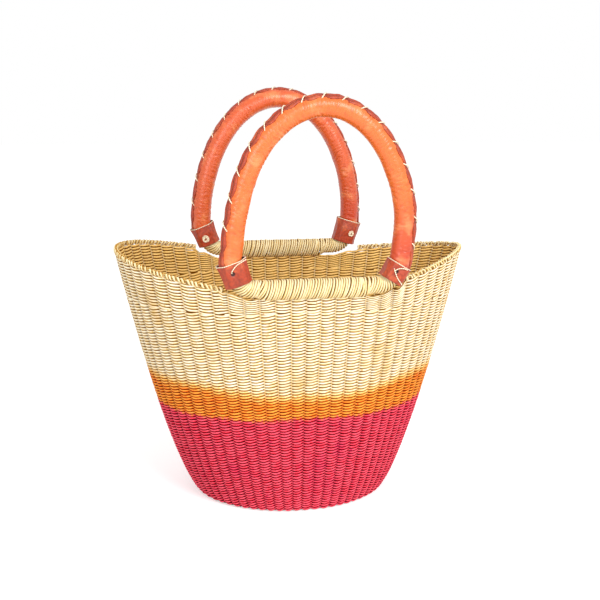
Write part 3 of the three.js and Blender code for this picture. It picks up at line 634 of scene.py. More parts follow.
# waxed cotton thread, 1.2 mm, two plies: creamy, dull, with slanted plies and painted shade in the grooves
# between them
def threadMaterial():
    material, tree, surface = newMaterial("waxedCottonThread", Roughness=0.62)
    along, around = (
        node(tree, "ShaderNodeAttribute", attribute_name=part).node.outputs["Fac"]
        for part in ("along", "round"))
    turned = node(tree, maths, (along, around), **plus)
    angle = node(tree, maths, (turned, 2 * math.pi), **times)
    ply = node(tree, maths, (angle,), operation="SINE")
    place = node(tree, "ShaderNodeTexCoord").node.outputs["Object"]
    fuzz = node(tree, "ShaderNodeTexNoise", {"Vector": place, "Scale": 1 / cotton["fuzz"]})
    # painted shade in the grooves between the plies
    groove = node(tree, ramp, (ply, -0.2, -1.0), **softly)
    soiled = node(tree, ramp, (fuzz, 0.55, 0.75), **softly)
    colour = layered(tree, cotton["light"], ((groove, cotton["groove"]), (soiled, cotton["soiled"])))
    bump = node(tree, "ShaderNodeBump", {"Strength": 0.5, "Distance": cotton["plyDepth"], "Height": ply})
    linkSurface(tree, surface, Base_Color=colour, Normal=bump)
    return material


stalks = dict(light="#CDAA68", dark="#8A6430", width=1.667 * mm, depth=0.4 * mm)


# a bundle of unspun grass stems, dull and streaky, hidden under the leather and the windings
def bundleMaterial():
    material, tree, surface = newMaterial("bundledGrass", Roughness=0.7)
    place = node(tree, "ShaderNodeTexCoord").node.outputs["Object"]
    stems = node(tree, "ShaderNodeTexNoise", {"Vector": place, "Scale": 1 / stalks["width"]})
    shade = node(tree, ramp, (stems, 0.35, 0.65), **softly)
    colour = layered(tree, stalks["dark"], [(shade, stalks["light"])])
    bump = node(tree, "ShaderNodeBump", {"Strength": 0.6, "Distance": stalks["depth"], "Height": stems})
    linkSurface(tree, surface, Base_Color=colour, Normal=bump)
    return material


straws = dict(
    natural=strawMaterial("naturalStraw", ("orange", "fading", "natural"), straw["floatLength"]),
    orange=strawMaterial("orangeDyedStraw", ("red", "orange", "fading", "natural"), straw["floatLength"]),
    red=strawMaterial("redDyedStraw", ("red", "orange"), straw["floatLength"]),
    winding=strawMaterial("windingStraw", ("winding",), straw["windingLength"]),
)
sleeveLeather = leatherMaterial("glazedGoatLeather", trim=False)
trimLeather = leatherMaterial("tannedTrimLeather", trim=True)
thread = threadMaterial()
bundledGrass = bundleMaterial()
print("materials:", len(bpy.data.materials))


# base and wall, woven
redTop, orangeTop = wallShape["bandTops"]
lowSteps = 120
lowHeights, lowLength = evenHeights(weave["firstRow"], wallShape["levelRowsTop"], lowSteps)
lowerFormer = wallFormer("lowerFormer", lambda turn: lowHeights, lambda z: 1.0, lambda turn: 1.0)
lowRows = round(lowLength / weave["rowPitch"])
rimRows = weave["rimRows"]


# how closely the rim's rows are packed where they dip under a foot
def squeeze(turn):
    level, rim = wallShape["levelRowsTop"], rowsRim(turn)
    return (min(rim, rowsCeiling(turn)) - level) / (rim - level)


def upperHeights(turn):
    level, rim, packing = wallShape["levelRowsTop"], rowsRim(turn), squeeze(turn)
    return [level + (rim - level - weave["rowPitch"] * (rimRows - r)) * packing for r in range(rimRows + 1)]


def rowAt(z):
    place = next(i for i, height in enumerate(lowHeights) if height >= z)
    return round(place / lowSteps * lowRows)


upperFormer = wallFormer(
    "upperFormer", upperHeights, lambda z: z - wallShape["levelRowsTop"] + weave["rimLap"], squeeze)
redHalf, redRows, orangeRows = rowAt(redTop / 2), rowAt(redTop), rowAt(orangeTop)
print("rows up the wall:", redRows, "red,", orangeRows - redRows, "orange,", lowRows - orangeRows, "natural")
rimChanges = dict(Width=weave["rimWidth"], Unevenness=weave["rimUnevenness"], Seed=5.0)
for band, former, rows, first, last, dye in (
        ("red_low", lowerFormer, lowRows, 0, redHalf, "red"),
        ("red_high", lowerFormer, lowRows, redHalf, redRows, "red"),
        ("orange", lowerFormer, lowRows, redRows, orangeRows, "orange"),
        ("natural", lowerFormer, lowRows, orangeRows, lowRows, "natural"),
        ("rim", upperFormer, rimRows, 0, rimRows, "natural")):
    changes = rimChanges if band == "rim" else {}
    piece = wovenBand("woven_" + band, former, rows, first, last, straws[dye], weave["bulge"][dye], **changes)
    finishPiece(piece, "wall_" + dye, "basket")


# upright spokes that the rows are twined round; they close the gaps between the floats, and with none of the
# strands' attributes they take the straw's painted shade colour
def spokes(name, low, high, material, steps=18, parts=4):
    turns = evenTurns(weave["columns"])
    points, faces = [], []
    outline = [(2 * k / parts - 1, 1) for k in range(parts + 1)]
    outline += [(-across, -1) for across, layer in outline]
    around = len(outline)
    for turn, nextTurn in zip(turns, turns[1:]):
        half = (nextTurn - turn) * weave["spokeShare"] / 2
        tops = (min(rowsCeiling(here), rowsRim(here)) for here in (turn - half, turn, turn + half))
        top = min(high, *tops) - weave["spokeEnd"]
        for i in range(steps + 1):
            z = low + (top - low) * i / steps
            base = len(points)
            for across, layer in outline:
                here = turn + half * across
                middle = wallMiddle(here, z)
                out = (wallOutside(here, z) - middle).normalized()
                points.append(middle + out * layer * weave["spokeThickness"] / 2)
            if i:
                for c in range(around):
                    d = (c + 1) % around
                    faces.append((base - around + d, base - around + c, base + c, base + d))
            else:
                faces.append(tuple(base + c for c in range(around)))
        faces.append(tuple(base + c for c in reversed(range(around))))
    return meshObject(name, points, faces, smooth=False, material=material)


for dye, low, high in (
        ("red", weave["spokeStart"], redTop), ("orange", redTop, orangeTop), ("natural", orangeTop, math.inf)):
    finishPiece(spokes("spokes_" + dye, low, high, straws[dye]), "wall_" + dye, "basket")

# the base: rings from the middle outwards, with more columns where it is wider
baseShape = dict(
    height=2.7 * mm, spokeThickness=1.1 * mm, bulge=0.95 * mm, formRows=24,
    hub=0.004,                                            # how near the middle the rings begin
    rowShare=0.95,                                        # its rings lie wider apart than the wall's rows
    ringColumns=((0, 8, 14), (8, 17, 30), (17, 0, 60)),   # first ring, last ring (0 for the edge), columns
)
baseHeight, hub, formRows = (baseShape[part] for part in ("height", "hub", "formRows"))
baseEdge = [Vector((*wallMiddle(turn, baseHeight).xy, 0)) for turn in evenTurns(weave["formColumns"])]
baseReach = (wallShape["baseLength"] + wallShape["baseDepth"]) / 2
baseRows = round(baseReach / weave["rowPitch"] * baseShape["rowShare"])
reaches = [hub + (1 - hub) * r / formRows for r in range(formRows + 1)]
ones = [1.0] * len(baseEdge) * len(reaches)
baseFormer = gridObject("baseFormer", [
    [edge * reach + Vector((0, 0, baseHeight)) for edge in baseEdge] for reach in reaches],
    keep=ones, fit=ones)
baseRings = [
    wovenBand("base_rings", baseFormer, baseRows, first, last or baseRows, straws["red"], baseShape["bulge"],
              Columns=columns, Seed=9.0)
    for first, last, columns in baseShape["ringColumns"]]


# the same spokes lie side by side between the rings and meet in the middle, also in the painted shade colour
def layeredSpokes(name):
    turns = evenTurns(weave["columns"])[:-1]
    points = []
    for side in (1, -1):
        height = baseHeight + side * baseShape["spokeThickness"] / 2
        points.append(Vector((0, 0, height)))
        for turn in turns:
            edge = wallMiddle(turn, baseHeight)
            points.append(Vector((edge.x, edge.y, height)))
    under = len(turns) + 1
    faces = []
    for c in range(1, under):
        d = c % len(turns) + 1
        faces += [(0, c, d), (under, under + d, under + c), (c, under + c, under + d, d)]
    return meshObject(name, points, faces, smooth=False, material=straws["red"])


wovenBase = joined("woven_base", [*baseRings, layeredSpokes("base_spokes")])
finishPiece(wovenBase, "base_disc", "basket")
drop(lowerFormer, upperFormer, baseFormer)
print("base and wall woven")


# strands wound round a path, or plaited along it; the path's radii swell or narrow the winding
def woundStrandsTree():
    tree = newTree("woundStrands", {
        "Strands": "Int", "Points": "Int", "Turns": "Float", "Side Reach": "Float", "Up Reach": "Float",
        "Up Waves": "Float", "Lean": "Float", "Width": "Float", "Thickness": "Float", "Sides": "Int",
        "Unevenness": "Float", "Seed": "Float", "Material": "Material"})
    given = node(tree, "NodeGroupInput").node.outputs
    index = node(tree, "GeometryNodeInputIndex")
    step = node(tree, maths, (index, given["Points"]), operation="MODULO")
    lap = node(tree, maths, (index, given["Points"]), **divided)
    strand = node(tree, maths, (lap,), operation="FLOOR")
    steps = node(tree, maths, (given["Points"], 1.0), **minus)
    share = node(tree, maths, (step, steps), **divided)
    turned = node(tree, maths, (share, given["Turns"]), **times)
    phase = node(tree, maths, (strand, given["Strands"]), **divided)
    wave = node(tree, maths, (turned, phase), **plus)
    angle = node(tree, maths, (wave, 2 * math.pi), **times)
    side = node(tree, maths, (angle,), operation="COSINE")
    upAngle = node(tree, maths, (angle, given["Up Waves"]), **times)
    up = node(tree, maths, (upAngle,), operation="SINE")
    # each turn has its own size and its own small shift along the path; leaning turns still reach the ends
    slip, overrun = 4.0, 0.03
    ownPlace = node(tree, "ShaderNodeCombineXYZ", (wave, strand, given["Seed"]))
    own = node(tree, "ShaderNodeTexNoise", {"Vector": ownPlace, "Scale": 1.4, "Detail": 1.0})
    ownShift = node(tree, maths, (own, 0.5), **minus)
    jitter = node(tree, maths, (ownShift, given["Unevenness"]), **times)
    shiftAlong = node(tree, maths, (jitter, given["Turns"]), **divided)
    spread = node(tree, ramp, (share, 0.0, 1.0, -overrun, 1 + overrun), clamp=False)
    moved = node(tree, maths, (shiftAlong, slip, spread), **timesPlus)
    leanShare = node(tree, maths, (given["Lean"], given["Turns"]), **divided)
    slanted = node(tree, maths, (up, leanShare, moved), **timesPlus)
    shareLow = node(tree, maths, (slanted, 0.0), operation="MAXIMUM")
    shareHere = node(tree, maths, (shareLow, 1.0), operation="MINIMUM")
    level = node(tree, "GeometryNodeSetCurveNormal", {"Curve": given["Geometry"]}, mode="Z_UP")
    radius = node(tree, "GeometryNodeInputRadius")
    sample = node(tree, "GeometryNodeSampleCurve", {"Curves": level, "Factor": shareHere, "Value": radius},
                  mode="FACTOR").node.outputs
    grown = node(tree, maths, (sample["Value"], jitter), **plus)
    sideway = node(tree, maths, (side, given["Side Reach"]), **times)
    sideOut = node(tree, maths, (sideway, grown), **times)
    upway = node(tree, maths, (up, given["Up Reach"]), **times)
    upOut = node(tree, maths, (upway, grown), **times)
    across = node(tree, vectorMaths, (sample["Tangent"], sample["Normal"]), operation="CROSS_PRODUCT")
    sideStep = node(tree, vectorMaths, {0: sample["Normal"], "Scale": sideOut}, **scaled)
    upStep = node(tree, vectorMaths, {0: across, "Scale": upOut}, **scaled)
    away = node(tree, vectorMaths, (sideStep, upStep), **plus)
    placed = node(tree, vectorMaths, (sample["Position"], away), **plus)
    facing = node(tree, vectorMaths, (away,), operation="NORMALIZE")

    line = node(tree, "GeometryNodeMeshLine", {"Count": given["Points"]})
    finishStrands(tree, given, given["Strands"], line, dict(place=placed, facing=facing),
                  dict(keepHere=1.0, size=1.0, along=wave, strand=strand, crest=1.0))
    return tree


woundTree = woundStrandsTree()


# the look gives a strand's width and thickness, how far it reaches sideways and up, and its unevenness
def woundPiece(name, path, radii, cadNode, body, look, turns, seed, **changes):
    source = pathObject(name + "Path", path, radii)
    piece = grownMesh(name, source, woundTree, {
        "Strands": 1, "Points": round(abs(turns) * look["pointsPerTurn"]), "Turns": turns, "Seed": seed,
        "Side Reach": look["sideReach"], "Up Reach": look["upReach"], "Up Waves": 1.0, "Lean": look["lean"],
        "Width": look["strandWidth"], "Thickness": look["strandThickness"], "Sides": 8,
        "Unevenness": look["unevenness"], "Material": straws["winding"], **changes})
    drop(source)
    finishPiece(piece, cadNode, body)


# plaited border along both ends of the rim
plait = dict(
    starts={-1: (103 * mm, 100 * mm), 1: (104 * mm, 105.5 * mm)},    # clear of the turning cuffs
    depth=2.6 * mm, period=14 * mm, pathSteps=120, pointsPerTurn=24,
    strandWidth=2.6 * mm, strandThickness=1.9 * mm, sideReach=1.5 * mm, upReach=1.7 * mm,
    lean=0.0, unevenness=0.15,
)


def rimPath(hand):
    middle, end = (math.pi, "left") if hand < 0 else (0, "right")
    fullness, mouth = wallShape[end + "Fullness"], wallShape[end + "Mouth"]
    before, after = (math.acos((start / mouth) ** (fullness / 2)) for start in plait["starts"][hand])
    steps = plait["pathSteps"]
    turns = [middle - before + (before + after) * i / steps for i in range(steps + 1)]
    return [wallMiddle(turn, rimHeight(turn) - plait["depth"]) for turn in turns]


for hand, word in hands:
    path = rimPath(hand)
    turns = sum((b - a).length for a, b in zip(path, path[1:])) / plait["period"]
    woundPiece("plaited_rim_" + word, path, [1.0] * len(path), "rim_braid_" + word, "basket", plait, turns,
               2.0 + hand, **{"Strands": 3, "Up Waves": 2.0})
print("rim plaited")

# handle rings: bar, bend, straight foot in the cuff, leg and arch, as in the solids
handleShape = dict(
    barOffset=107.5 * mm, axisHeight=261 * mm, bendRadius=18 * mm, legRadius=20 * mm, leanTop=350 * mm,
    sleeveRadius=11.1 * mm, sleeveTuck=8 * mm,
    front=dict(side=-1, span=178 * mm, apex=444.5 * mm, spring=310 * mm, lean=5.6 * mm,
               seam=math.radians(-20)),
    back=dict(side=1, span=182.5 * mm, apex=440 * mm, spring=298 * mm, lean=1.5 * mm, seam=math.radians(4)),
    feet=dict(    # tilt from upright, straight run, then the cuff's length and width
        front_left=(22, 12 * mm, 23.6 * mm, 31 * mm), front_right=(28.5, 8 * mm, 19 * mm, 27 * mm),
        back_left=(23, 14 * mm, 23 * mm, 29 * mm), back_right=(13.5, 8 * mm, 27 * mm, 29 * mm)),
)


# lengths along one half of a ring, from the middle of the bar
def legLengths(ring, degrees, run, cuffLength, cuffWidth):
    h = handleShape
    tilt = math.radians(degrees)
    leg = dict(
        halfSpan=ring["span"] / 2, spring=ring["spring"], archRise=ring["apex"] - ring["spring"],
        tilt=tilt, footTurn=math.pi / 2 - tilt, cuffHalf=cuffLength / 2, cuffWidth=cuffWidth)
    splay = run * math.sin(tilt) + h["legRadius"] * (1 - math.cos(tilt))
    leg["barEnd"] = leg["halfSpan"] - h["bendRadius"] * math.sin(leg["footTurn"]) - splay
    leg["footBottom"] = h["axisHeight"] + h["bendRadius"] * (1 - math.cos(leg["footTurn"]))
    leg["legBottom"] = leg["footBottom"] + run * math.cos(tilt) + h["legRadius"] * math.sin(tilt)
    leg["bendEnd"] = leg["barEnd"] + h["bendRadius"] * leg["footTurn"]
    leg["runEnd"] = leg["bendEnd"] + run
    leg["legStart"] = leg["runEnd"] + h["legRadius"] * tilt
    leg["archStart"] = leg["legStart"] + ring["spring"] - leg["legBottom"]
    meanRadius = math.hypot(leg["halfSpan"], leg["archRise"]) * math.sqrt(0.5)
    leg["archEnd"] = leg["archStart"] + math.pi / 2 * meanRadius
    leg["cuffMiddle"] = (leg["bendEnd"] + leg["runEnd"]) / 2
    leg["cuffTop"] = leg["cuffMiddle"] + leg["cuffHalf"]
    return leg


def legPoint(leg, s):
    h = handleShape
    if s <= leg["barEnd"]:
        return s, h["axisHeight"]
    if s <= leg["bendEnd"]:
        turn = (s - leg["barEnd"]) / h["bendRadius"]
        x = leg["barEnd"] + h["bendRadius"] * math.sin(turn)
        return x, h["axisHeight"] + h["bendRadius"] * (1 - math.cos(turn))
    if s <= leg["legStart"]:
        run = min(s, leg["runEnd"]) - leg["bendEnd"]
        tilt = leg["tilt"]
        left = tilt - max(s - leg["runEnd"], 0) / h["legRadius"]
        drop = h["legRadius"] * (math.cos(left) - math.cos(tilt))
        climb = h["legRadius"] * (math.sin(tilt) - math.sin(left))
        x = leg["barEnd"] + h["bendRadius"] * math.sin(leg["footTurn"]) + run * math.sin(tilt) + drop
        return x, leg["footBottom"] + run * math.cos(tilt) + climb
    if s <= leg["archStart"]:
        return leg["halfSpan"], leg["legBottom"] + s - leg["legStart"]
    turn = (s - leg["archStart"]) / (leg["archEnd"] - leg["archStart"]) * math.pi / 2
    return leg["halfSpan"] * math.cos(turn), leg["spring"] + leg["archRise"] * math.sin(turn)


def ringPoint(handle, s):
    left, right = handle["legs"][-1], handle["legs"][1]
    around = left["archEnd"] + right["archEnd"]
    if s > right["archEnd"]:
        s -= around
    elif s < -left["archEnd"]:
        s += around
    x, z = legPoint(left if s < 0 else right, abs(s))
    lean = handle["lean"] * smooth(z, handleShape["axisHeight"], handleShape["leanTop"])
    return Vector((math.copysign(x, s) + lean, handle["side"] * handleShape["barOffset"], z))


def ringFrame(handle, s):
    step = 0.3 * mm
    along = (ringPoint(handle, s + step) - ringPoint(handle, s - step)).normalized()
    return ringPoint(handle, s), along, Vector((along.z, 0, -along.x))


# a point off the ring's middle line, turned from straight outwards
def offRing(handle, s, radius, turn):
    place, along, out = ringFrame(handle, s)
    return place + out * radius * math.cos(turn) + along.cross(out) * radius * math.sin(turn)


def cuffFrame(handle, hand):
    leg = handle["legs"][hand]
    low = ringPoint(handle, hand * (leg["cuffTop"] - 2 * leg["cuffHalf"]))
    high = ringPoint(handle, hand * leg["cuffTop"])
    along = (high - low).normalized()
    return (low + high) / 2, along, Vector((along.z, 0, -along.x))


# straw rolls along the rim's sides, with the same straw wound on round the bends up into the cuffs
roll = dict(
    front=(-61 * mm, 57 * mm), back=(-60 * mm, 60 * mm), middleHeight=259.2 * mm, pathSteps=80,
    endLength=9 * mm,        # over which a roll narrows to meet the winding of the foot
    upReach=9.7 * mm, sideReach=8.3 * mm, pitch=2.55 * mm, strandWidth=2.45 * mm, strandThickness=2.3 * mm,
    lean=-1.3, unevenness=0.26, pointsPerTurn=28,
)
footWinding = {
    **roll, "upReach": 8.05 * mm, "sideReach": 8.05 * mm, "unevenness": 0.07, "pathSteps": 60,
    "swell": 1.03,           # towards the cuff, from this step of the path on
    "swellStart": 10,
    "lap": 0.3,              # of a turn, on to the roll's end
    "pastCuff": 2 * mm,      # on past the cuff's middle
}

# leather sleeve, laced welt and cuffs; noise lengths are the size of the lumps they make
sleeveLook = dict(
    innerRadius=9.5 * mm, around=48, step=1.0 * mm, innerSteps=4, sunk=0.25 * mm,
    wrinklePitch=4.6 * mm, wrinkleDepth=0.32 * mm,
    wrinkleSlant=0.455, wrinkleDrift=1.3, driftLength=11 * mm,    # slant and drift are in wrinkles
    strength=0.45, strengthRange=1.2, strengthRound=2, strengthLength=8 * mm,
    # dark is how much painted shade the wrinkles' troughs get
    lumps=0.45 * mm, lumpRound=0.8, lumpLength=20 * mm, dark=0.4,
    stitchPitch=23.5 * mm, stitchRun=8 * mm, stitchStart=1.8 * mm,
)
weltLook = dict(
    halfWidth=4.5 * mm, height=2.4 * mm, tuck=3 * mm, step=1.1 * mm, sunk=0.35 * mm, keel=0.9 * mm,
    pinched=0.5,                  # how open it is at a stitch
    fullness=0.6,                 # the lower, the sooner it opens from there
    skew=0.25,                    # how far it leans to and fro between two stitches
    waver=0.08, waverLength=8 * mm, heightWaver=0.15, heightLength=6 * mm,
    # groove is the span across the welt that gets full painted shade; dark is the painted shade where it is
    # pinched at a stitch
    fold=0.2 * mm, foldLength=2.4 * mm, groove=(-0.1, 0), dark=0.45,
    outline=(                     # across from its middle, and off the sleeve
        (-1, 0), (-1.04, 0.3), (-0.9, 0.62), (-0.6, 0.78), (-0.25, 0.7), (-0.06, 0.25), (0.08, 0.7),
        (0.4, 1), (0.75, 0.85), (0.98, 0.45), (1, 0)),
)
laceLook = dict(
    depth=1.3 * mm,               # of its lowest points under the sleeve's face
    over=0.55, reach=0.8,         # how high on the welt it lies, and how far across it goes
    sag=0.2 * mm,                 # off the middle of the welt
    stitch=(    # share of the stitch, mm beyond it, mm above the lowest point (None is over the welt), across
        (0, -1.5, 0, 0.9), (0, 0, 1.5, 1.05), (0.25, 0, None, 0.62), (0.5, 0, None, 0),
        (0.75, 0, None, -0.62), (1, 0, 1.5, -1.05), (1, 1.5, 0, -0.9), (1, 8, 0, 0)),
)
threadLook = dict(lacing=0.62 * mm, cuff=0.5 * mm, knot=0.62 * mm, sides=8)    # radii


def noiseOf(x, y, z):
    return noise.noise(Vector((x, y, z)))


# lengths along a ring from the right cuff to the left one, going on into each by the tuck
def sleeveRun(handle, tuck, step):
    left, right = handle["legs"][-1], handle["legs"][1]
    start = right["cuffTop"] - tuck
    end = left["archEnd"] + right["archEnd"] - left["cuffTop"] + tuck
    count = round((end - start) / step)
    return [start + (end - start) * i / count for i in range(count + 1)]


def sleeve(name, handle):
    look = sleeveLook
    turns = [2 * math.pi * j / look["around"] for j in range(look["around"])]
    run = sleeveRun(handle, handleShape["sleeveTuck"], look["step"])
    rows, creases = [], []
    seed = 10 * handle["side"]
    for s in run:
        row = []
        for turn in turns:
            x, y = math.cos(turn), math.sin(turn)
            slant = look["wrinkleSlant"] * math.cos(turn - handle["seam"])
            drift = noiseOf(s / look["driftLength"], x, y + seed) * look["wrinkleDrift"]
            wave = math.sin(2 * math.pi * (s / look["wrinklePitch"] + slant + drift))
            near, far = x * look["strengthRound"] + 5, y * look["strengthRound"] + seed
            strength = noiseOf(s / look["strengthLength"], near, far) * look["strengthRange"]
            fold = wave * max(look["strength"] + strength, 0.0)
            lump = noiseOf(s / look["lumpLength"], x * look["lumpRound"], y * look["lumpRound"] - seed)
            relief = look["wrinkleDepth"] * fold + look["lumps"] * lump
            row.append(offRing(handle, s, handleShape["sleeveRadius"] - look["sunk"] + relief, turn))
            # painted shade in the wrinkles' troughs
            creases.append(max(-fold, 0) * look["dark"])
        rows.append(row)
    # the inner face is hidden and gets painted shade all over
    for i in reversed(range(0, len(run), look["innerSteps"])):
        rows.append([offRing(handle, run[i], look["innerRadius"], turn) for turn in turns])
        creases += [1.0] * look["around"]
    rows.append(rows[0])
    creases += creases[:look["around"]]
    return gridObject(name, rows, closed=True, material=sleeveLeather, crease=creases)


# the two folded edges of the seam, a leaf between every two stitches and pinched at each one
def welt(name, handle, first):
    look, side, sleeveRadius = weltLook, handle["side"], handleShape["sleeveRadius"]
    rows, creases = [], []
    for s in sleeveRun(handle, look["tuck"], look["step"]):
        place = (s - first - sleeveLook["stitchRun"] / 2) / sleeveLook["stitchPitch"]
        full = abs(math.sin(math.pi * place)) ** look["fullness"]
        skew = look["skew"] * math.sin(2 * math.pi * place)
        opened = look["pinched"] + (1 - look["pinched"]) * full
        wide = look["halfWidth"] * (opened + look["waver"] * noiseOf(s / look["waverLength"], side, 1))
        high = look["height"] * (opened + look["heightWaver"] * noiseOf(s / look["heightLength"], 4, side))
        row = []
        for x, y in look["outline"]:
            fold = look["fold"] * noiseOf(s / look["foldLength"], x * 2, y * 2 + side)
            radius = sleeveRadius - look["sunk"] + high * y + fold
            row.append(offRing(handle, s, radius, handle["seam"] + (x + skew) * wide / radius))
            # painted shade in the groove between the flaps and along their foot, and, fainter, where they are
            # pinched at a stitch
            hidden = look["groove"][0] < x < look["groove"][1] or y == 0
            creases.append(1.0 if hidden else look["dark"] * (1 - full))
        # the part let into the sleeve is hidden and gets full painted shade
        for x in (0.5, -0.5):    # let into the sleeve
            turn = handle["seam"] + x * wide / sleeveRadius
            row.append(offRing(handle, s, sleeveRadius - look["keel"], turn))
            creases.append(1.0)
        rows.append(row)
    return gridObject(name, rows, closed=True, capped=True, material=trimLeather, crease=creases)


# a round thread through points, smoothed between them
def threadMesh(name, points, radius, between=6, closed=False):
    def near(places, i):
        return places[i % len(places)] if closed else places[min(max(i, 0), len(places) - 1)]

    smoothPoints = []
    for i in range(len(points) if closed else len(points) - 1):
        a, b, c, d = (near(points, i + k) for k in (-1, 0, 1, 2))
        for t in (step / between for step in range(between)):
            square, cube = 2 * a - 5 * b + 4 * c - d, 3 * b - a - 3 * c + d
            smoothPoints.append(0.5 * (2 * b + (c - a) * t + square * t * t + cube * t ** 3))
    if not closed:
        smoothPoints.append(points[-1])
    rows, alongs = [], []
    sides = threadLook["sides"]
    side = Vector((0.31, 0.59, 0.74))    # any direction that no thread runs along
    travelled = 0.0
    for i, place in enumerate(smoothPoints):
        before, after = near(smoothPoints, i - 1), near(smoothPoints, i + 1)
        along = (after - before).normalized()
        side = (side - along * side.dot(along)).normalized()
        up = along.cross(side)
        rows.append([place + side * radius * math.cos(a) + up * radius * math.sin(a)
                     for a in (2 * math.pi * j / sides for j in range(sides))])
        alongs += [travelled / cotton["turnLength"]] * sides
        travelled += (after - place).length
    if closed:
        rows.append(rows[0])
        alongs += [travelled / cotton["turnLength"]] * sides
    return gridObject(name, rows, closed=True, capped=not closed, material=thread,
                      along=alongs, round=[j / sides for _ in rows for j in range(sides)])


def lacing(name, handle, first, count):
    look, sleeveRadius = laceLook, handleShape["sleeveRadius"]
    low = sleeveRadius - look["depth"]
    over = sleeveRadius + look["over"] * weltLook["height"] + threadLook["lacing"]
    wide = weltLook["halfWidth"] * look["reach"] / sleeveRadius
    points = []
    for i in range(count):
        for share, on, lift, across in look["stitch"]:
            s = first + i * sleeveLook["stitchPitch"] + share * sleeveLook["stitchRun"] + on * mm
            radius = low + lift * mm if lift is not None else over - (look["sag"] if across else 0)
            points.append(offRing(handle, s, radius, handle["seam"] + wide * across))
    return threadMesh(name, points, threadLook["lacing"])


# the ends of thread that come out of a cuff's hole, in mm: out from its middle, up, and off its face
rightThreads = (
    ((-6.6, 3.2, -0.6), (-5.6, 2.0, 0.5), (0.9, -3.2, 0.6), (6.5, -5.8, 0.6), (9.9, -7.2, -0.4)),
    ((-4.8, 0.6, -0.8), (-4.3, 3.2, 0.5), (-1.8, 6.2, 0.8), (2.5, 8.4, 0.7), (6.5, 8.9, 0.3)))
leftThread = ((3.2, 3.4, -1.2), (3.6, 5.0, 0.5), (0.2, 8.0, 0.7), (-4.1, 10.3, 0.6))

# a square of leather folded round the foot, flat on both faces, with a punched hole in the outer one
cuffLook = dict(
    halfDepth=12.4 * mm, thickness=1.6 * mm, corner=1.3 * mm,
    faceSteps=30, sideSteps=10, cornerSteps=4, along=30,
    closing=1.1 * mm,                                 # how much nearer the faces are at the top
    fold=0.6, foldStart=8 * mm, foldOpen=0.8, foldShut=1.1,    # the corners lie flat together
    narrower=0.4 * mm, flare=0.9 * mm, crown=0.3 * mm, bow=0.8 * mm,
    # dark is how much painted shade the waves' hollows get
    waves=((11 * mm, 0.6), (3.5 * mm, 0.25)), waveDepth=0.5 * mm, dark=0.4,
    holes={-1: (2.8, 2.6), 1: (-2.7, 1.9)},           # in mm, out from the middle and up
    # painted shade in the punched hole: how much, near black past 1, and how far out it reaches
    holeRadius=1.7 * mm, holeDepth=2.4 * mm, holeShade=3.0, holeRim=1.6,
    # a crease runs down from the hole; it and the upper and lower edges get painted shade
    creaseLean=0.45, creaseDepth=0.5 * mm, creaseWidth=1.2 * mm, creaseDark=0.25, creaseDarkWidth=0.8 * mm,
    edge=1.0 * mm, edgeShade=0.3, innerRings=(1.0, 0.5, -0.5, -1.0), faceOn=0.9,
    threads=dict(
        front_left=((*leftThread, (-9.5, 11.5, 0.5), (-14.6, 12.4, 0.2)),),
        back_left=((*leftThread, (-9.5, 11.0, 0.3)),), front_right=rightThreads, back_right=rightThreads),
    threadLift=0.4 * mm, threadTurnAbove=0.3 * mm,
    knots=dict(      # coil on the inner face, in mm: out, up, and its half width and half height
        front_left=(1.5, -1.5, 3.6, 4.0), front_right=(1.5, -1.0, 3.4, 3.6),
        back_left=(2.6, -3.0, 3.9, 4.6), back_right=(4.4, -0.8, 3.0, 3.6)),
    knotSteps=32, knotStepsPerTurn=12, knotHeart=0.32, knotLift=0.7 * mm, knotRipple=0.25 * mm,
)


# places and directions round a cuff: a rectangle with rounded corners, its long sides slightly crowned
def cuffSection(wide, deep):
    look = cuffLook
    r = look["corner"]
    signs = ((1, 1), (-1, 1), (-1, -1), (1, -1), (1, 1))
    centres = [((wide - r) * x, (deep - r) * y) for x, y in signs]
    section = []
    for quarter, steps in enumerate((look["faceSteps"], look["sideSteps"]) * 2):
        (x, y), (nextX, nextY) = centres[quarter], centres[quarter + 1]
        for i in range(look["cornerSteps"]):
            a = (quarter + i / look["cornerSteps"]) * math.pi / 2
            section.append((x + r * math.cos(a), y + r * math.sin(a), math.cos(a), math.sin(a)))
        a = (quarter + 1) * math.pi / 2
        for t in (i / steps for i in range(steps)):
            crown = look["crown"] * 4 * t * (1 - t) * abs(math.sin(a))
            onX = x + (nextX - x) * t + r * math.cos(a)
            onY = y + (nextY - y) * t + (r + crown) * math.sin(a)
            section.append((onX, onY, math.cos(a), math.sin(a)))
    return section


# places and outward directions round a cuff at a step up from its middle, or inside it by the trim
def cuffRing(handle, hand, step, trim=0.0):
    look, leg = cuffLook, handle["legs"][hand]
    place, along, out = cuffFrame(handle, hand)
    across = along.cross(out)
    up = step / leg["cuffHalf"]
    wide = leg["cuffWidth"] / 2 - look["narrower"] + look["flare"] * up - trim
    deep = look["halfDepth"] - look["closing"] * smooth(up, 0.1, 1) - trim
    fold = look["fold"] * (look["foldOpen"] + (look["foldShut"] - look["foldOpen"]) * smooth(up, 0, 1))
    ring = []
    for x, y, normalX, normalY in cuffSection(wide, deep):
        flatter = 1 - fold * smooth(abs(x), look["foldStart"], wide)
        point = place + along * step + out * x + across * y * flatter
        ring.append((point, out * normalX + across * normalY))
    return ring


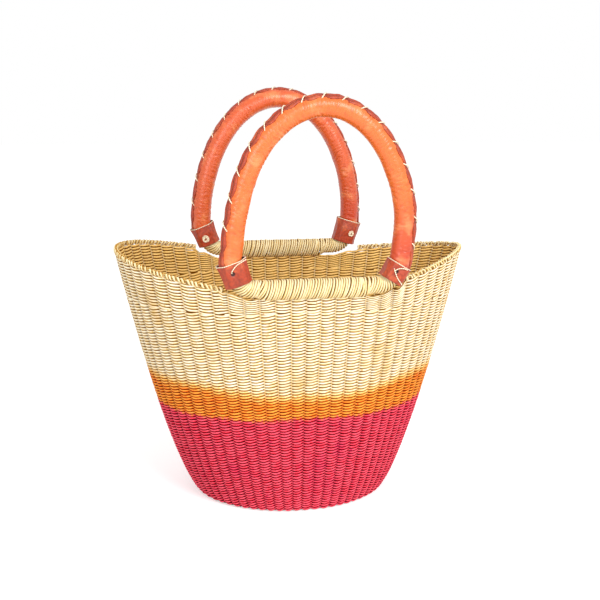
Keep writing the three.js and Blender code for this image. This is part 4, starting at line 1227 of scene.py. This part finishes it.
def cuff(name, handle, hand):
    look, half = cuffLook, handle["legs"][hand]["cuffHalf"]
    (broad, broadShare), (tight, tightShare) = look["waves"]
    rows, creases = [], []
    seed = Vector((3 * handle["side"] + hand, 0, 0))
    middle, up, outwards = cuffFrame(handle, hand)
    holeOut, holeUp = (value * mm for value in look["holes"][hand])
    for i in range(look["along"] + 1):
        z = half * (2 * i / look["along"] - 1)
        row = []
        for point, outward in cuffRing(handle, hand, z):
            wave = noiseOf(*(point / broad + seed)) * broadShare + tightShare * noiseOf(*(point / tight))
            bow = -look["bow"] * (1 - (z / half) ** 2) * abs(outward.dot(outwards))
            moved = point + outward * (look["waveDepth"] * wave + bow)
            crease = 0.0
            if outward.y * handle["side"] > look["faceOn"]:    # on the outer face
                x = (point - middle).dot(outwards) * hand
                hole = math.hypot(x - holeOut, z - holeUp) / look["holeRadius"]
                # painted shade in the punched hole
                crease = max(0.0, 1 - hole / look["holeRim"]) * look["holeShade"]
                moved -= outward * look["holeDepth"] * math.exp(-hole ** 2)
                if z < holeUp:    # a soft crease from the hole down to the lower edge
                    off = abs(x - holeOut - (z - holeUp) * look["creaseLean"])
                    moved -= outward * look["creaseDepth"] * math.exp(-(off / look["creaseWidth"]) ** 2)
                    # painted shade along the crease
                    crease += look["creaseDark"] * math.exp(-(off / look["creaseDarkWidth"]) ** 2)
            # painted shade at the upper and lower edges and in the hollows of the waves
            edge = smooth(abs(z), half - look["edge"], half)
            creases.append(crease + look["edgeShade"] * edge + max(0.0, -wave) * look["dark"])
            row.append(moved)
        rows.append(row)
    # the inside is hidden and gets painted shade all over
    for share in look["innerRings"]:
        rows.append([point for point, outward in cuffRing(handle, hand, half * share, look["thickness"])])
        creases += [1.0] * len(rows[0])
    rows.append(rows[0])
    creases += creases[:len(rows[0])]
    return gridObject(name, rows, closed=True, material=trimLeather, crease=creases)


def onCuff(handle, hand, across, up, lift, outer=True):
    place, along, out = cuffFrame(handle, hand)
    side = handle["side"] * (1 if outer else -1)
    return place + out * across * hand + along * up + Vector((0, side, 0)) * (cuffLook["halfDepth"] + lift)


# the thread that closes the cuff: a turn round its upper edge, and its ends over the outer face
def cuffThreads(name, handle, hand, place):
    radius = threadLook["cuff"]
    ring = cuffRing(handle, hand, handle["legs"][hand]["cuffHalf"] + cuffLook["threadTurnAbove"], radius)
    pieces = [threadMesh(name, [point for point, outward in ring[::2]], radius, closed=True, between=2)]
    for end in cuffLook["threads"][place]:
        points = [onCuff(handle, hand, x * mm, z * mm, y * mm + cuffLook["threadLift"]) for x, z, y in end]
        pieces.append(threadMesh(name, points, radius))
    return joined(name, pieces)


def cuffKnot(name, handle, hand, place):
    look = cuffLook
    x, z, wide, high = (value * mm for value in look["knots"][place])
    coil = []
    for k in range(look["knotSteps"] + 1):
        a = 2 * math.pi * k / look["knotStepsPerTurn"]
        reach = look["knotHeart"] + (1 - look["knotHeart"]) * k / look["knotSteps"]
        lift = look["knotLift"] + look["knotRipple"] * math.sin(2.3 * a)    # the coil's turns lie unevenly
        coil.append(onCuff(
            handle, hand, x + wide * reach * math.cos(a), z + high * reach * math.sin(a), lift, outer=False))
    return threadMesh(name, coil, threadLook["knot"], between=3)


for which in ("front", "back"):
    handle = dict(handleShape[which])
    feet = handleShape["feet"]
    handle["legs"] = {hand: legLengths(handle, *feet[f"{which}_{word}"]) for hand, word in hands}
    body = which + "_handle"
    left, right = handle["legs"][-1], handle["legs"][1]

    low, high = roll[which]
    slim, steps = footWinding["upReach"] / roll["upReach"], roll["pathSteps"]
    path, radii = [], []
    for i in range(steps + 1):
        x = low + (high - low) * i / steps
        inner = smooth(min(x - low, high - x), 0, roll["endLength"])
        z = handleShape["axisHeight"] + (roll["middleHeight"] - handleShape["axisHeight"]) * inner
        path.append(Vector((x, handle["side"] * handleShape["barOffset"], z)))
        radii.append(slim + (1 - slim) * inner)
    woundPiece(which + "_straw_roll", path, radii, which + "_bar_binding", "basket", roll,
               (high - low) / roll["pitch"], 11.0 + handle["side"])
    for hand, word in hands:
        start = abs(low if hand < 0 else high) - footWinding["pitch"] * footWinding["lap"]
        end = handle["legs"][hand]["cuffMiddle"] + footWinding["pastCuff"]
        steps = footWinding["pathSteps"]
        path = [ringPoint(handle, hand * (start + (end - start) * i / steps)) for i in range(steps + 1)]
        swell, swellStart = footWinding["swell"] - 1, footWinding["swellStart"]
        radii = [1 + swell * smooth(i, swellStart, steps) for i in range(steps + 1)]
        woundPiece(f"{which}_foot_winding_{word}", path, radii, f"{which}_end_wrap_{word}", body, footWinding,
                   (end - start) / footWinding["pitch"] * hand, 21.0 + hand)

    weltStart = {hand: leg["cuffTop"] + sleeveLook["stitchStart"] for hand, leg in handle["legs"].items()}
    length = left["archEnd"] - weltStart[-1] + right["archEnd"] - weltStart[1]
    count = math.floor((length - sleeveLook["stitchRun"]) / sleeveLook["stitchPitch"])
    first = weltStart[1] + (length - count * sleeveLook["stitchPitch"]) / 2
    pieces = [
        (sleeve(which + "_sleeve", handle), "leather_sleeve", "sleeve_leather"),
        (welt(which + "_welt", handle, first), "seam_welt", "trim_leather"),
        (lacing(which + "_lacing", handle, first, count), "seam_lacing", "thread")]
    for hand, word in hands:
        place = f"{which}_{word}"
        pieces += [
            (cuff(f"{which}_cuff_leather_{word}", handle, hand), "cuff_" + word, "trim_leather"),
            (cuffThreads(f"{which}_cuff_stitching_{word}", handle, hand, place),
             "cuff_thread_" + word, "thread"),
            (cuffKnot(f"{which}_cuff_coil_{word}", handle, hand, place), "cuff_knot_" + word, "thread")]
    for piece, part, slotName in pieces:
        finishPiece(piece, f"{which}_{part}", body)
    for materialSlot in cadNodes[which + "_handle_core"].material_slots:
        materialSlot.material = bundledGrass
    print(which, "handle made")

# floor, light and camera, set to the photograph's angle
studio = dict(
    cameraPlace=(-0.2400, -1.1185, 0.5072), lens=62.25, sensor=36,
    azimuth=-12.5026, elevation=14.0685, roll=1.0013,    # degrees
    key=dict(place=(0.75, -1.7, 1.35), power=32.0, size=1.2),
    fill=dict(place=(-1.3, -1.9, 1.0), power=19.0, size=1.2),
    aim=(0, 0, 0.2), worldStrength=0.68, floor="#EDEDED", floorHalf=4, floorGlow=0.45,
)


# 1 where the camera sees a surface itself, or in a gloss or through glass
def seenShare(tree):
    rays = node(tree, "ShaderNodeLightPath").node.outputs
    mirrored = node(tree, maths, (rays["Is Camera Ray"], rays["Is Glossy Ray"]), operation="MAXIMUM")
    return node(tree, maths, (mirrored, rays["Is Transmission Ray"]), operation="MAXIMUM")


far = studio["floorHalf"]
floorMaterial, tree, surface = newMaterial(
    "paperFloor", Roughness=0.9, Base_Color=linearColour(studio["floor"]), Specular_IOR_Level=0.0)
glowing = node(tree, maths, (seenShare(tree), studio["floorGlow"]), **times)
glow = node(tree, "ShaderNodeEmission", ((1, 1, 1, 1), glowing))
both = node(tree, "ShaderNodeAddShader", (surface.outputs[0], glow))
tree.links.new(both, tree.nodes["Material Output"].inputs["Surface"])
corners = [(-far, -far, 0), (far, -far, 0), (far, far, 0), (-far, far, 0)]
floorMesh = meshObject("floor", corners, [(0, 1, 2, 3)], smooth=False, material=floorMaterial)

world = bpy.data.worlds.new("studioWhite")
bpy.context.scene.world = world
world.use_nodes = True
tree = world.node_tree
strength = node(tree, maths, (seenShare(tree), 1 - studio["worldStrength"], studio["worldStrength"]),
                **timesPlus)
tree.links.new(strength, tree.nodes["Background"].inputs["Strength"])
tree.nodes["Background"].inputs["Color"].default_value = (1, 1, 1, 1)

for name in ("key", "fill"):
    lamp = studio[name]
    light = bpy.data.lights.new(name, "AREA")
    light.energy = lamp["power"]
    light.shape = "DISK"
    light.size = lamp["size"]
    made = addObject(name, light)
    made.location = lamp["place"]
    aim = Vector(studio["aim"]) - Vector(lamp["place"])
    made.rotation_euler = aim.to_track_quat("-Z", "Y").to_euler()

azimuth, elevation, tilt = (math.radians(studio[part]) for part in ("azimuth", "elevation", "roll"))
level = math.cos(elevation)
back = Vector((math.sin(azimuth) * level, -math.cos(azimuth) * level, math.sin(elevation)))
rightward = Vector((math.cos(azimuth), math.sin(azimuth), 0))
upward = back.cross(rightward)
turnedRight = rightward * math.cos(tilt) + upward * math.sin(tilt)
turnedUp = upward * math.cos(tilt) - rightward * math.sin(tilt)
cameraData = bpy.data.cameras.new("camera")
cameraData.lens = studio["lens"]
cameraData.sensor_width = studio["sensor"]
camera = addObject("camera", cameraData)
camera.matrix_world = Matrix.LocRotScale(
    Vector(studio["cameraPlace"]), Matrix((turnedRight, turnedUp, back)).transposed().to_quaternion(), None)
bpy.context.scene.camera = camera
bpy.context.scene.view_settings.view_transform = "Standard"
